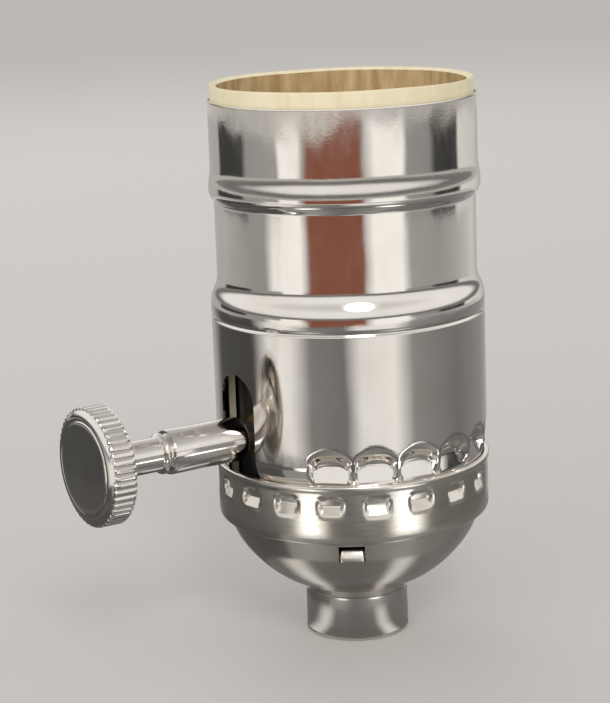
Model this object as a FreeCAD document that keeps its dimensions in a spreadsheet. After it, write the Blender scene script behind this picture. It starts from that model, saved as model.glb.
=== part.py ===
import FreeCAD, Part
import math
import os

import Sketcher
from FreeCAD import Placement, Rotation, Vector

# A lamp holder with a turn-knob switch, for a medium screw base lamp.
#
# Frame: the socket axis is Z, the origin is the centre of the neck's bottom face,
# and the switch shaft points along -X. All lengths are in millimetres.
# A "turn" is an angle in degrees, counted anticlockwise from above, starting at -X.
# Pieces on the switch shaft are drawn in the shaft's own frame, whose Z is the
# distance outward from the socket axis and whose X is up, and are then laid along -X.

SIZES = {
    # Neck bushing, turned, with an internal pipe thread
    "neck_radius": 6.45,
    "neck_height": 5.65,
    "neck_edge": 0.3,
    "thread_bore_radius": 4.6,
    "collar_radius": 6.2,
    "collar_height": 0.95,
    "spigot_radius": 5.65,
    "stake_radius": 6.7,
    "stake_height": 0.8,
    # Cap, stamped from sheet
    "cap_wall": 0.45,
    "bowl_foot_radius": 7.0,
    "bowl_step": 1.1,
    "bowl_height": 9.1,
    "bowl_curve": 15.0,
    "band_height": 7.5,
    "band_corner": 1.0,
    "band_crease": 0.2,
    "lip_overhang": 0.15,
    "lip_height": 0.75,
    "lip_round": 0.25,
    "dent_count": 19,
    "dent_width": 2.9,
    "dent_height": 2.0,
    "dent_depth": 0.55,
    "dent_drop": 1.4,
    "dent_turn": -10.5,
    "window_count": 2,
    "window_width": 3.2,
    "window_height": 2.3,
    "window_drop": 0.35,
    "window_turn": 54.2,
    "tongue_lean": 0.9,
    "tongue_side_gap": 0.2,
    # Paper insulation
    "liner_wall": 0.8,
    "liner_gap": 0.05,
    "liner_stand": 2.0,
    "liner_flare_height": 2.5,
    "liner_slot_width": 12.4,
    "liner_slot_rise": 10.9,
    "liner_slot_corner": 2.0,
    "cap_liner_wall": 0.25,
    "cap_liner_gap": 0.1,
    "cap_liner_foot_gap": 0.3,
    "cap_liner_notch": 4.4,
    # Outer shell, stamped from thin sheet
    "shell_wall": 0.3,
    "shell_gap": 0.1,
    "shell_height": 51.47,
    "barrel_stand": 3.4,
    "skirt_inset": 0.5,
    "waist_inset": 0.88,
    "upper_bead_inset": 0.25,
    "top_inset": 0.55,
    "upper_bead_foot": 12.2,
    "upper_bead_roll": 1.45,
    "upper_bead_taper": 2.95,
    "lower_bead_foot": 26.6,
    "lower_bead_crest": 1.15,
    "lower_bead_roll": 3.65,
    "crease_depth": 0.22,
    "crease_width": 0.5,
    "shoulder_stand": 0.25,
    "shoulder_height": 1.9,
    "snap_bead_height": 2.7,
    "snap_depth": 0.6,
    "snap_height": 3.0,
    "snap_slope": 0.3,
    "pocket_count": 15,
    "pocket_first": 3,
    "pocket_width": 4.6,
    "pocket_height": 1.8,
    "pocket_depth": 1.2,
    "shell_slot_width": 7.2,
    "shell_slot_rise": 8.0,
    # Switch housing and contact base, moulded
    "housing_gap": 0.35,
    "housing_height": 21.6,
    "housing_hollow_radius": 10.5,
    "housing_hollow_depth": 2.2,
    "flange_gap": 0.3,
    "flange_height": 1.5,
    "chamber_front": 6.0,
    "chamber_back": 3.0,
    "chamber_width": 11.6,
    "chamber_drop": 5.6,
    "bearing_depth": 2.4,
    "terminal_face": 8.5,
    "terminal_recess_width": 11.0,
    "terminal_recess_height": 14.5,
    "wire_notch_width": 8.0,
    "wire_notch_depth": 2.6,
    "base_height": 3.0,
    "base_boss_radius": 4.6,
    "base_boss_height": 0.8,
    "body_screw_offset": 8.5,
    "insulator_wall": 0.4,
    "insulator_rim": 0.25,
    "insulator_gap": 0.5,
    # Screw shell, rolled from thin sheet
    "screw_root_radius": 13.2,
    "screw_thread_depth": 0.85,
    "screw_wall": 0.35,
    "screw_pitch": 3.63,
    "screw_land": 0.85,
    "screw_turns": 5,
    "screw_foot": 4.3,
    "screw_mouth": 0.5,
    "screw_eye_radius": 5.5,
    # Switch shaft, knob and rotor
    "shaft_height": 27.6,
    "shaft_radius": 1.75,
    "shaft_grip": 6.0,
    "shaft_collar_radius": 2.6,
    "shaft_collar_length": 0.7,
    "drive_width": 2.5,
    "journal_radius": 1.2,
    "journal_end_gap": 0.2,
    "running_gap": 0.05,
    "bushing_radius": 2.65,
    "bushing_inset": 0.2,
    "knob_radius": 7.23,
    "knob_rim": 2.9,
    "knob_edge": 0.25,
    "knob_reach": 34.5,
    "knob_face_radius": 5.6,
    "knob_face_rise": 0.6,
    "knob_face_crown": 0.22,
    "knob_groove": 0.14,
    "knob_shoulder_curve": 2.2,
    "flute_count": 48,
    "flute_depth": 0.32,
    "flute_width": 0.72,
    "knob_hub_radius": 3.2,
    "knob_hub_length": 1.1,
    "stem_radius": 2.08,
    "stem_bead_radius": 2.5,
    "stem_bead_width": 0.95,
    "stem_bead_gap": 0.3,
    "sleeve_radius": 2.71,
    "sleeve_gap": 2.5,
    "sleeve_length": 10.4,
    "sleeve_edge": 0.5,
    "drum_radius": 3.0,
    "drum_length": 2.9,
    "cam_width": 4.6,
    "cam_length": 2.3,
    "cam_round": 2.55,
    "cam_neck_radius": 2.1,
    "cam_neck_length": 0.3,
    "bridge_wall": 0.3,
    "bridge_sweep": 215.0,
    # Contacts, terminals and fasteners
    "blade_wall": 0.4,
    "blade_gap": 0.1,
    "blade_width": 2.0,
    "blade_drop": 3.2,
    "blade_kick": 0.9,
    "blade_kick_length": 1.2,
    "blade_foot": 4.8,
    "contact_foot": 2.3,
    "terminal_wall": 0.6,
    "terminal_width": 7.0,
    "terminal_height": 26.3,
    "terminal_drop": 4.6,
    "terminal_screw_radius": 1.45,
    "terminal_screw_length": 2.9,
    "terminal_head_radius": 3.0,
    "terminal_head_height": 1.5,
    "driver_slot_width": 0.7,
    "driver_slot_depth": 0.7,
    "body_screw_radius": 1.1,
    "body_screw_length": 8.2,
    "body_head_radius": 1.95,
    "body_head_height": 1.1,
    "rivet_radius": 1.1,
    "rivet_head_radius": 1.9,
    "rivet_head_height": 0.5,
    "strap_wall": 0.4,
    "strap_reach": 5.8,
    "strap_rivet_radius": 0.8,
    "strap_rivet_head_radius": 1.2,
    "strap_rivet_offset": 7.1,
    "tongue_width": 5.0,
    "tongue_wall": 0.45,
    "tongue_heel": 4.0,
    "tongue_toe": 2.3,
    "tongue_tip": 4.2,
    "tongue_rise": 3.4,
    "spring_wall": 0.35,
    "spring_width": 1.9,
    "spring_foot": 0.6,
}

DEGREES = 180 / math.pi
FULL_TURN = 360
HALF_TURN = 180
OVERCUT = 1
AXES = {
    "Z": Rotation(),
    "X": Rotation(Vector(0, 1, 0), 90),
    "-X": Rotation(Vector(0, 1, 0), -90),
    "Y": Rotation(Vector(1, 0, 0), -90),
    "-Y": Rotation(Vector(1, 0, 0), 90),
}


class Size:
    """A number kept together with the spreadsheet expression that gives it."""

    def __init__(self, text, value):
        self.text = text
        self.value = value

    def __add__(self, other):
        other = as_size(other)
        return Size(f"({self.text} + {other.text})", self.value + other.value)

    def __sub__(self, other):
        other = as_size(other)
        return Size(f"({self.text} - {other.text})", self.value - other.value)

    def __mul__(self, other):
        other = as_size(other)
        return Size(f"({self.text} * {other.text})", self.value * other.value)

    def __truediv__(self, other):
        other = as_size(other)
        return Size(f"({self.text} / {other.text})", self.value / other.value)

    def __radd__(self, other):
        return as_size(other) + self

    def __rsub__(self, other):
        return as_size(other) - self

    def __rmul__(self, other):
        return as_size(other) * self

    def __rtruediv__(self, other):
        return as_size(other) / self

    def __neg__(self):
        return Size(f"(0 - {self.text})", -self.value)


def as_size(number):
    if isinstance(number, Size):
        return number
    return Size(repr(float(number)), float(number))


def root(size):
    return Size(f"sqrt({size.text})", math.sqrt(size.value))


def tangent_radius(across, along):
    """Radius of an arc that leaves its end tangent to 'along' and shifts by 'across'."""
    return (across * across + along * along) / (2 * across)


doc = FreeCAD.newDocument("lamp_holder")
sheet = doc.addObject("Spreadsheet::Sheet", "sizes")
for row, (word, number) in enumerate(SIZES.items(), start=1):
    sheet.set(f"A{row}", word)
    sheet.set(f"B{row}", str(number))
    sheet.setAlias(f"B{row}", word)
doc.recompute()


def size(word):
    return Size(f"sizes.{word}", SIZES[word])


# ---------------------------------------------------------------- drawing helpers


def bind(feature, field, value):
    """Ties one field of a feature to an expression over the sheet."""
    feature.setExpression(field, as_size(value).text)


def place(feature, x=0, y=0, z=0, axis="Z"):
    """Lays the feature's own Z along an axis and moves it to a point."""
    feature.Placement = Placement(Vector(), AXES[axis])
    bind(feature, "Placement.Base.x", x)
    bind(feature, "Placement.Base.y", y)
    bind(feature, "Placement.Base.z", z)
    return feature


def box(name, low, high):
    block = doc.addObject("Part::Box", name)
    for field, start, end in zip(("Length", "Width", "Height"), low, high):
        bind(block, field, end - as_size(start))
    return place(block, *low)


def cylinder(name, radius, height, x=0, y=0, z=0, axis="Z"):
    rod = doc.addObject("Part::Cylinder", name)
    bind(rod, "Radius", radius)
    bind(rod, "Height", height)
    return place(rod, x, y, z, axis)


def fuse(name, *pieces):
    whole = doc.addObject("Part::MultiFuse", name)
    whole.Shapes = list(pieces)
    whole.Refine = True
    return whole


def cut(name, stock, *tools):
    result = doc.addObject("Part::Cut", name)
    result.Base = stock
    result.Tool = tools[0] if len(tools) == 1 else fuse(name + "_tools", *tools)
    result.Refine = True
    return result


def common(name, first, second):
    result = doc.addObject("Part::MultiCommon", name)
    result.Shapes = [first, second]
    return result


def new_body(name):
    body = doc.addObject("PartDesign::Body", name)
    body.Label = name
    return body


def datum(body, role):
    return next(item for item in body.Origin.OriginFeatures if item.Role == role)


def new_sketch(body, name, plane, lift=None, turn=None):
    """A sketch on one of the body's origin planes, lifted along the plane's normal, or
    with its left side turned about Z to a given turn."""
    sketch = body.newObject("Sketcher::SketchObject", name)
    sketch.AttachmentSupport = [(datum(body, plane), "")]
    sketch.MapMode = "FlatFace"
    if lift is not None:
        bind(sketch, "AttachmentOffset.Base.z", lift)
    if turn is not None:
        sketch.AttachmentOffset = Placement(Vector(), Rotation(Vector(0, 1, 0), 1))
        bind(sketch, "AttachmentOffset.Rotation.Angle", turn)
    return sketch


def pin_point(sketch, edge, end, x, y):
    """Ties a point's two coordinates to the sheet, or sets it on the sketch's axis."""
    for kind, value, axis in (("DistanceX", x, -2), ("DistanceY", y, -1)):
        if isinstance(value, Size):
            rule = Sketcher.Constraint(kind, -1, 1, edge, end, value.value)
            index = sketch.addConstraint(rule)
            sketch.setExpression(f"Constraints[{index}]", value.text)
        else:
            sketch.addConstraint(Sketcher.Constraint("PointOnObject", edge, end, axis))


def arc_between(start, end, radius, side):
    """An arc whose centre lies on the given side of the way from start to end."""
    middle = (start + end) * 0.5
    way = end - start
    rise = math.sqrt(max(radius * radius - way.Length ** 2 / 4, 0))
    left = Vector(-way.y, way.x, 0).normalize()
    centre = middle + left * (rise if side == "left" else -rise)
    first, last = (start, end) if side == "left" else (end, start)
    angles = [math.atan2(p.y - centre.y, p.x - centre.x) for p in (first, last)]
    if angles[1] <= angles[0]:
        angles[1] += 2 * math.pi
    return Part.ArcOfCircle(Part.Circle(centre, Vector(0, 0, 1), radius), *angles)


def draw(sketch, steps):
    """Adds a closed outline. A step is a corner (x, y) reached by a line, or
    (x, y, radius, side) reached by an arc."""
    corners = [Vector(as_size(s[0]).value, as_size(s[1]).value, 0) for s in steps]
    ends = []
    for index, step in enumerate(steps):
        start, end = corners[index - 1], corners[index]
        if len(step) == 2:
            edge = sketch.addGeometry(Part.LineSegment(start, end))
            ends.append((edge, 1, 2))
            continue
        radius, side = step[2], step[3]
        edge = sketch.addGeometry(arc_between(start, end, radius.value, side))
        rule = sketch.addConstraint(Sketcher.Constraint("Radius", edge, radius.value))
        sketch.setExpression(f"Constraints[{rule}]", radius.text)
        ends.append((edge, 1, 2) if side == "left" else (edge, 2, 1))
    for index, step in enumerate(steps):
        edge, _, finish = ends[index]
        after, begin, _ = ends[(index + 1) % len(steps)]
        sketch.addConstraint(Sketcher.Constraint("Coincident", edge, finish, after, begin))
        pin_point(sketch, edge, finish, step[0], step[1])


def way_back(steps):
    """The same corners the other way round, with each arc on its own stretch."""
    back = []
    for index in range(len(steps) - 1, -1, -1):
        corner = steps[index][:2]
        if index + 1 < len(steps) and len(steps[index + 1]) == 4:
            radius, side = steps[index + 1][2:]
            corner += (radius, "right" if side == "left" else "left")
        back.append(corner)
    return back


def turn_profile(body, name, steps, turn=None, angle=FULL_TURN, groove=False):
    """Revolves an outline of (radius, height) corners about the body's Z axis."""
    sketch = new_sketch(body, name + "_outline", "XZ_Plane", turn=turn)
    draw(sketch, steps)
    kind = "PartDesign::Groove" if groove else "PartDesign::Revolution"
    feature = body.newObject(kind, name)
    feature.Profile = sketch
    feature.ReferenceAxis = (sketch, ["V_Axis"])
    feature.Midplane = True
    bind(feature, "Angle", angle)
    return feature


def repeat(body, feature, name, count, angle=FULL_TURN):
    pattern = body.newObject("PartDesign::PolarPattern", name)
    pattern.Originals = [feature]
    pattern.Axis = (datum(body, "Z_Axis"), [""])
    bind(pattern, "Angle", angle)
    bind(pattern, "Occurrences", count)
    body.Tip = pattern
    return pattern


def pad(body, sketch, name, length, centred=False):
    feature = body.newObject("PartDesign::Pad", name)
    feature.Profile = sketch
    feature.Midplane = centred
    bind(feature, "Length", length)
    return feature


def pocket_through(body, sketch, name, both_ways=False):
    """Cuts the sketch through everything on the back of its plane, or both ways."""
    feature = body.newObject("PartDesign::Pocket", name)
    feature.Profile = sketch
    feature.Type = "ThroughAll"
    feature.Midplane = both_ways
    return feature


# ---------------------------------------------------------------- shared places

FLOOR = size("neck_height") + size("collar_height")
STEP = FLOOR + size("bowl_height")
CAP_RIM = STEP + size("band_height")
LEDGE = STEP + size("cap_wall")

SEAT = LEDGE + size("cap_liner_wall")
FLANGE_TOP = SEAT + size("flange_height")
HOUSING_TOP = SEAT + size("housing_height")
BASE_TOP = HOUSING_TOP + size("base_height")
BOSS_TOP = BASE_TOP + size("base_boss_height")
SCREW_BASE = BASE_TOP + size("insulator_wall")

SHELL_FOOT = LEDGE + size("shoulder_stand")
SHELL_RIM = SHELL_FOOT + size("shell_height")
BARREL_RADIUS = size("screw_root_radius") + size("screw_wall") + size("barrel_stand")
SKIRT_RADIUS = BARREL_RADIUS - size("skirt_inset")
BAND_RADIUS = SKIRT_RADIUS + size("shell_gap") + size("cap_wall")
BOWL_CORNER = (BAND_RADIUS - size("bowl_step"), STEP + size("band_crease"))
WAIST_RADIUS = BARREL_RADIUS - size("waist_inset")
BEAD_RADIUS = BARREL_RADIUS - size("upper_bead_inset")
TOP_RADIUS = BARREL_RADIUS - size("top_inset")
SNAP_RADIUS = SKIRT_RADIUS - size("snap_depth")
SHOULDER = CAP_RIM + size("shoulder_stand")
POCKET_RADIUS = BARREL_RADIUS - size("pocket_depth")
FLANGE_RADIUS = SKIRT_RADIUS - size("shell_wall") - size("flange_gap")

LINER_LOW_RADIUS = POCKET_RADIUS - size("shell_wall") - 2 * size("liner_gap")
LINER_TOP_RADIUS = TOP_RADIUS - size("shell_wall") - size("liner_gap")
HOUSING_RADIUS = LINER_LOW_RADIUS - size("liner_wall") - size("housing_gap")
INSULATOR_RADIUS = size("screw_root_radius") + size("screw_wall") + size("insulator_rim")

DENT_TOP = CAP_RIM - size("dent_drop")
DENT_FOOT = DENT_TOP - size("dent_height")
WINDOW_TOP = STEP - size("window_drop")
WINDOW_FOOT = WINDOW_TOP - size("window_height")

SHAFT_HEIGHT = size("shaft_height")
CHAMBER_FLOOR = SHAFT_HEIGHT - size("chamber_drop")
COLLAR_START = size("chamber_front") - size("running_gap") - size("shaft_collar_length")
CAM_START = COLLAR_START - size("cam_length")
DRUM_END = CAM_START - size("cam_neck_length")
DRUM_START = DRUM_END - size("drum_length")
DRUM_MIDDLE = (DRUM_START + DRUM_END) / 2
BLADE_NEAR = DRUM_MIDDLE - size("blade_width") / 2
BLADE_FAR = DRUM_MIDDLE + size("blade_width") / 2
BLADE_FACE = size("drum_radius") + size("blade_gap")
TERMINAL_BACK = size("terminal_face") + size("terminal_wall")
BUSHING_END = HOUSING_RADIUS - size("bushing_inset")
SLEEVE_START = BUSHING_END + size("sleeve_gap")
SHAFT_END = SLEEVE_START + size("shaft_grip")


def bowl_radius(level):
    """Outer radius of the bowl's curved wall at a height."""
    wide = BOWL_CORNER[0] - size("bowl_foot_radius")
    tall = BOWL_CORNER[1] - FLOOR
    chord = root(wide * wide + tall * tall)
    curve = size("bowl_curve")
    rise = root(curve * curve - chord * chord / 4)
    centre_radius = (BOWL_CORNER[0] + size("bowl_foot_radius")) / 2 - rise * tall / chord
    centre_level = (BOWL_CORNER[1] + FLOOR) / 2 + rise * wide / chord
    drop = level - centre_level
    return centre_radius + root(curve * curve - drop * drop)


# ---------------------------------------------------------------- cap and neck


def make_neck_bushing():
    body = new_body("neck_bushing")
    bore = size("thread_bore_radius")
    stake_foot = FLOOR + size("cap_wall")
    turn_profile(body, "turned_neck", [
        (bore, 0),
        (size("neck_radius") - size("neck_edge"), 0),
        (size("neck_radius"), size("neck_edge")),
        (size("neck_radius"), size("neck_height")),
        (size("collar_radius"), size("neck_height")),
        (size("collar_radius"), FLOOR),
        (size("spigot_radius"), FLOOR),
        (size("spigot_radius"), stake_foot),
        (size("stake_radius"), stake_foot),
        (size("stake_radius"), stake_foot + size("stake_height")),
        (bore, stake_foot + size("stake_height")),
    ])
    return body


def cap_outline():
    """Section of the cap's sheet: bowl, creased step, band and rolled lip."""
    wall = size("cap_wall")
    band = BAND_RADIUS
    lip = band + size("lip_overhang")
    lip_foot = CAP_RIM - size("lip_height")
    lip_round = size("lip_round")
    return [
        (size("spigot_radius"), FLOOR),
        (size("bowl_foot_radius"), FLOOR),
        (*BOWL_CORNER, size("bowl_curve"), "left"),
        (band - size("band_corner"), STEP),
        (band, STEP + size("band_corner"), size("band_corner"), "left"),
        (band, lip_foot),
        (lip, lip_foot + lip_round),
        (lip, CAP_RIM - lip_round),
        (lip - lip_round, CAP_RIM, lip_round, "left"),
        (band - wall, CAP_RIM),
        (band - wall, LEDGE),
        (BOWL_CORNER[0] - wall, LEDGE),
        (size("bowl_foot_radius"), FLOOR + wall, size("bowl_curve") - wall, "right"),
        (size("spigot_radius"), FLOOR + wall),
    ]


def add_dents(body):
    """Dents pressed into the band: a ramp that ends in a square ledge."""
    wall = size("cap_wall")
    outside = BAND_RADIUS
    inside = outside - wall
    overlap = wall / 4
    ledge_foot = DENT_FOOT - wall / 2
    turn = size("dent_turn") + HALF_TURN
    inner_width = size("dent_width") + wall
    bump = turn_profile(body, "dent_back", [
        (inside + overlap, ledge_foot),
        (inside + overlap, DENT_TOP),
        (inside - size("dent_depth"), DENT_FOOT),
        (inside - size("dent_depth"), ledge_foot),
    ], turn, inner_width / outside * DEGREES)
    repeat(body, bump, "dent_backs", size("dent_count"))
    dent = turn_profile(body, "dent", [
        (outside - size("dent_depth"), DENT_FOOT),
        (outside + wall, DENT_FOOT),
        (outside + wall, DENT_TOP),
        (outside, DENT_TOP),
    ], turn, size("dent_width") / outside * DEGREES, groove=True)
    repeat(body, dent, "dents", size("dent_count"))


def add_windows(body):
    """Lanced windows under the band, each with its tongue leaning inward."""
    half = size("window_width") / 2
    turn = size("window_turn")
    sketch = new_sketch(body, "window_outline", "YZ_Plane", turn=turn)
    draw(sketch, [
        (-half, WINDOW_FOOT),
        (half, WINDOW_FOOT),
        (half, WINDOW_TOP),
        (-half, WINDOW_TOP),
    ])
    window = pocket_through(body, sketch, "window")
    repeat(body, window, "windows", size("window_count"))
    wall = size("cap_wall")
    root_level = WINDOW_FOOT - wall
    root_radius = bowl_radius(root_level)
    tip_radius = bowl_radius(WINDOW_TOP - wall) - size("tongue_lean")
    span = (size("window_width") - 2 * size("tongue_side_gap")) / root_radius * DEGREES
    tongue = turn_profile(body, "tongue", [
        (root_radius - wall, root_level),
        (root_radius - wall / 4, root_level),
        (root_radius - wall / 4, WINDOW_FOOT),
        (tip_radius, WINDOW_TOP - wall),
        (tip_radius - wall, WINDOW_TOP - wall),
    ], turn + HALF_TURN, span)
    repeat(body, tongue, "tongues", size("window_count"))


def make_cap():
    body = new_body("cap")
    turn_profile(body, "stamping", cap_outline())
    add_dents(body)
    add_windows(body)
    return body


def make_cap_liner():
    """Paper cup that lines the bowl, notched where the cap's tongues come through."""
    body = new_body("cap_liner")
    wall = size("cap_liner_wall")
    gap = size("cap_liner_gap")
    lining = size("cap_wall") + gap
    curve = size("bowl_curve") - lining
    foot_gap = size("cap_liner_foot_gap")
    foot = (size("bowl_foot_radius") + foot_gap, FLOOR + size("cap_wall") + foot_gap)
    top_radius = BOWL_CORNER[0] - lining
    turn_profile(body, "paper_cup", [
        foot,
        (top_radius, LEDGE, curve, "left"),
        (FLANGE_RADIUS, LEDGE),
        (FLANGE_RADIUS, LEDGE + wall),
        (top_radius - wall, LEDGE + wall),
        (foot[0], foot[1] + wall, curve - wall, "right"),
    ])
    half = size("cap_liner_notch") / 2
    sketch = new_sketch(body, "notch_outline", "YZ_Plane", turn=size("window_turn"))
    draw(sketch, [
        (-half, WINDOW_FOOT - wall - size("cap_wall")),
        (half, WINDOW_FOOT - wall - size("cap_wall")),
        (half, LEDGE),
        (-half, LEDGE),
    ])
    notch = pocket_through(body, sketch, "notch")
    repeat(body, notch, "notches", size("window_count"))
    return body


# ---------------------------------------------------------------- outer shell and liner


def shell_line(inset):
    """One face of the shell's sheet, from the skirt's foot to the rim."""
    skirt = SKIRT_RADIUS - inset
    snap = SNAP_RADIUS - inset
    barrel = BARREL_RADIUS - inset
    waist = WAIST_RADIUS - inset
    bead = BEAD_RADIUS - inset
    top = TOP_RADIUS - inset
    snap_foot = SHELL_FOOT + size("snap_bead_height")
    snap_top = snap_foot + size("snap_height")
    slope = size("snap_slope")
    shoulder_top = SHOULDER + size("shoulder_height")
    crease = SHELL_RIM - size("lower_bead_foot")
    crest = crease + size("crease_width") + size("lower_bead_crest")
    half_roll = size("lower_bead_roll") / 2
    upper = SHELL_RIM - size("upper_bead_foot")
    upper_crest = upper + size("upper_bead_roll")
    half_taper = size("upper_bead_taper") / 2
    shoulder_curve = tangent_radius(size("skirt_inset"), size("shoulder_height"))
    roll_step = size("waist_inset") / 2
    roll_curve = tangent_radius(roll_step, half_roll)
    bead_curve = tangent_radius(BEAD_RADIUS - WAIST_RADIUS, size("upper_bead_roll"))
    taper_step = (BEAD_RADIUS - TOP_RADIUS) / 2
    taper_curve = tangent_radius(taper_step, half_taper)
    return [
        (skirt, SHELL_FOOT),
        (skirt, snap_foot),
        (snap, snap_foot + slope),
        (snap, snap_top - slope),
        (skirt, snap_top),
        (skirt, SHOULDER),
        (barrel, shoulder_top, shoulder_curve, "left"),
        (barrel, crease),
        (barrel - size("crease_depth"), crease + size("crease_width") / 2),
        (barrel, crease + size("crease_width")),
        (barrel, crest),
        (barrel - roll_step, crest + half_roll, roll_curve, "left"),
        (waist, crest + 2 * half_roll, roll_curve, "right"),
        (waist, upper),
        (bead, upper_crest, bead_curve, "left"),
        (bead - taper_step, upper_crest + half_taper, taper_curve, "left"),
        (top, upper_crest + 2 * half_taper, taper_curve, "right"),
        (top, SHELL_RIM),
    ]


def add_pockets(body):
    """Upright pockets above the cap's rim, one over each dent but those by the slot."""
    wall = size("shell_wall")
    pitch = FULL_TURN / size("dent_count")
    barrel = BARREL_RADIUS
    inside = wall / 3
    low = SHELL_FOOT + size("snap_bead_height") + size("snap_height") - size("snap_slope")
    crease = SHOULDER + size("shoulder_height")
    high = crease + size("pocket_height")
    turn = size("dent_turn") + size("pocket_first") * pitch + HALF_TURN
    sweep = (size("pocket_count") - 1) * pitch
    back_width = size("pocket_width") + 2 * wall
    bump = turn_profile(body, "pocket_back", [
        (SNAP_RADIUS - wall, low),
        (SNAP_RADIUS - inside, low),
        (SKIRT_RADIUS - inside, low + size("snap_slope")),
        (SKIRT_RADIUS - inside, SHOULDER),
        (barrel - inside, crease),
        (barrel - inside, high),
        (barrel - wall, high),
        (POCKET_RADIUS - wall, crease),
    ], turn, back_width / barrel * DEGREES)
    repeat(body, bump, "pocket_backs", size("pocket_count"), sweep)
    pocket = turn_profile(body, "pocket", [
        (SNAP_RADIUS, low),
        (barrel + wall, low),
        (barrel + wall, high),
        (barrel, high),
        (POCKET_RADIUS, crease),
    ], turn, size("pocket_width") / barrel * DEGREES, groove=True)
    repeat(body, pocket, "pockets", size("pocket_count"), sweep)


def make_outer_shell():
    body = new_body("outer_shell")
    wall = size("shell_wall")
    turn_profile(body, "stamping", shell_line(0) + way_back(shell_line(wall)))
    add_pockets(body)
    half = size("shell_slot_width") / 2
    crown = SHAFT_HEIGHT + size("shell_slot_rise")
    sketch = new_sketch(body, "slot_outline", "YZ_Plane")
    draw(sketch, [
        (-half, SHELL_FOOT - wall),
        (half, SHELL_FOOT - wall),
        (half, crown - half),
        (0, crown, half, "left"),
        (-half, crown - half, half, "left"),
    ])
    pocket_through(body, sketch, "slot")
    return body


def make_insulating_liner():
    body = new_body("insulating_liner")
    wall = size("liner_wall")
    flare_foot = SHELL_RIM - size("upper_bead_foot") + size("shell_wall")
    flare_top = flare_foot + size("liner_flare_height")
    brim = SHELL_RIM + size("liner_stand")
    turn_profile(body, "paper_tube", [
        (LINER_LOW_RADIUS, FLANGE_TOP),
        (LINER_LOW_RADIUS, flare_foot),
        (LINER_TOP_RADIUS, flare_top),
        (LINER_TOP_RADIUS, brim),
        (LINER_TOP_RADIUS - wall, brim),
        (LINER_TOP_RADIUS - wall, flare_top),
        (LINER_LOW_RADIUS - wall, flare_foot),
        (LINER_LOW_RADIUS - wall, FLANGE_TOP),
    ])
    half = size("liner_slot_width") / 2
    corner = size("liner_slot_corner")
    top = SHAFT_HEIGHT + size("liner_slot_rise")
    sketch = new_sketch(body, "slot_outline", "YZ_Plane")
    draw(sketch, [
        (-half, FLANGE_TOP - wall),
        (half, FLANGE_TOP - wall),
        (half, top - corner),
        (half - corner, top, corner, "left"),
        (corner - half, top),
        (-half, top - corner, corner, "left"),
    ])
    pocket_through(body, sketch, "slot")
    return body


# ---------------------------------------------------------------- housing and base


def make_switch_housing():
    radius = HOUSING_RADIUS
    body = new_body("housing_blank")
    turn_profile(body, "moulding", [
        (size("housing_hollow_radius"), SEAT),
        (FLANGE_RADIUS, SEAT),
        (FLANGE_RADIUS, FLANGE_TOP),
        (radius, FLANGE_TOP),
        (radius, HOUSING_TOP),
        (0, HOUSING_TOP),
        (0, SEAT + size("housing_hollow_depth")),
        (size("housing_hollow_radius"), SEAT + size("housing_hollow_depth")),
    ])
    front = size("chamber_front")
    back = size("chamber_back")
    half_chamber = size("chamber_width") / 2
    tools = [
        box("chamber", (-front, -half_chamber, CHAMBER_FLOOR), (back, half_chamber, HOUSING_TOP + OVERCUT)),
        cylinder("bushing_seat", size("bushing_radius"), radius - front + OVERCUT,
                 -front, 0, SHAFT_HEIGHT, "-X"),
        cylinder("journal_seat", size("journal_radius") + size("running_gap"),
                 size("bearing_depth"), back, 0, SHAFT_HEIGHT, "X"),
    ]
    for side, spin in (("front", "-Y"), ("back", "Y")):
        sign = -1 if side == "front" else 1
        tools += terminal_cuts(side, sign)
        tools.append(cylinder(
            f"{side}_terminal_hole", size("terminal_screw_radius"),
            size("terminal_face") - half_chamber + 2 * OVERCUT, 0,
            sign * (half_chamber - OVERCUT),
            size("terminal_height"), spin))
    tools.append(box(
        "line_tab_notch",
        (-BLADE_FAR - size("running_gap"), half_chamber - OVERCUT,
         HOUSING_TOP - size("blade_wall") - size("terminal_wall")),
        (-BLADE_NEAR + size("running_gap"), TERMINAL_BACK, HOUSING_TOP + OVERCUT)))
    for sign, side in ((-1, "left"), (1, "right")):
        tools.append(cylinder(
            f"{side}_screw_hole", size("body_screw_radius"), size("body_screw_length"),
            sign * size("body_screw_offset"), 0, SCREW_BASE + size("screw_wall")
            - size("body_screw_length")))
    return cut("switch_housing", body, *tools)


def terminal_cuts(side, sign):
    """Recess, strap slot and wire notch for the terminal on one side of the housing."""
    radius = HOUSING_RADIUS
    face = size("terminal_face")
    recess_top = FLANGE_TOP + size("terminal_recess_height")
    half_recess = size("terminal_recess_width") / 2
    half_strap = size("terminal_width") / 2 + size("running_gap")
    half_notch = size("wire_notch_width") / 2
    notch_face = FLANGE_RADIUS - size("wire_notch_depth")
    return [
        side_box(f"{side}_recess", sign, half_recess, face, radius + OVERCUT,
                 FLANGE_TOP, recess_top),
        side_box(f"{side}_strap_slot", sign, half_strap, face,
                 TERMINAL_BACK + size("running_gap"), recess_top - OVERCUT,
                 HOUSING_TOP + OVERCUT),
        side_box(f"{side}_wire_notch", sign, half_notch, notch_face, FLANGE_RADIUS + OVERCUT,
                 SEAT - OVERCUT, FLANGE_TOP + OVERCUT),
    ]


def side_box(name, sign, half_width, near, far, low, high):
    """A box centred on X = 0 that lies between two distances on the +Y or -Y side."""
    if sign > 0:
        return box(name, (-half_width, near, low), (half_width, far, high))
    return box(name, (-half_width, -far, low), (half_width, -near, high))


def body_screw_holes(name, low, height):
    return [
        cylinder(f"{name}_hole_{side}", size("body_screw_radius"), height,
                 sign * size("body_screw_offset"), 0, low)
        for sign, side in ((-1, "left"), (1, "right"))
    ]


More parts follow.
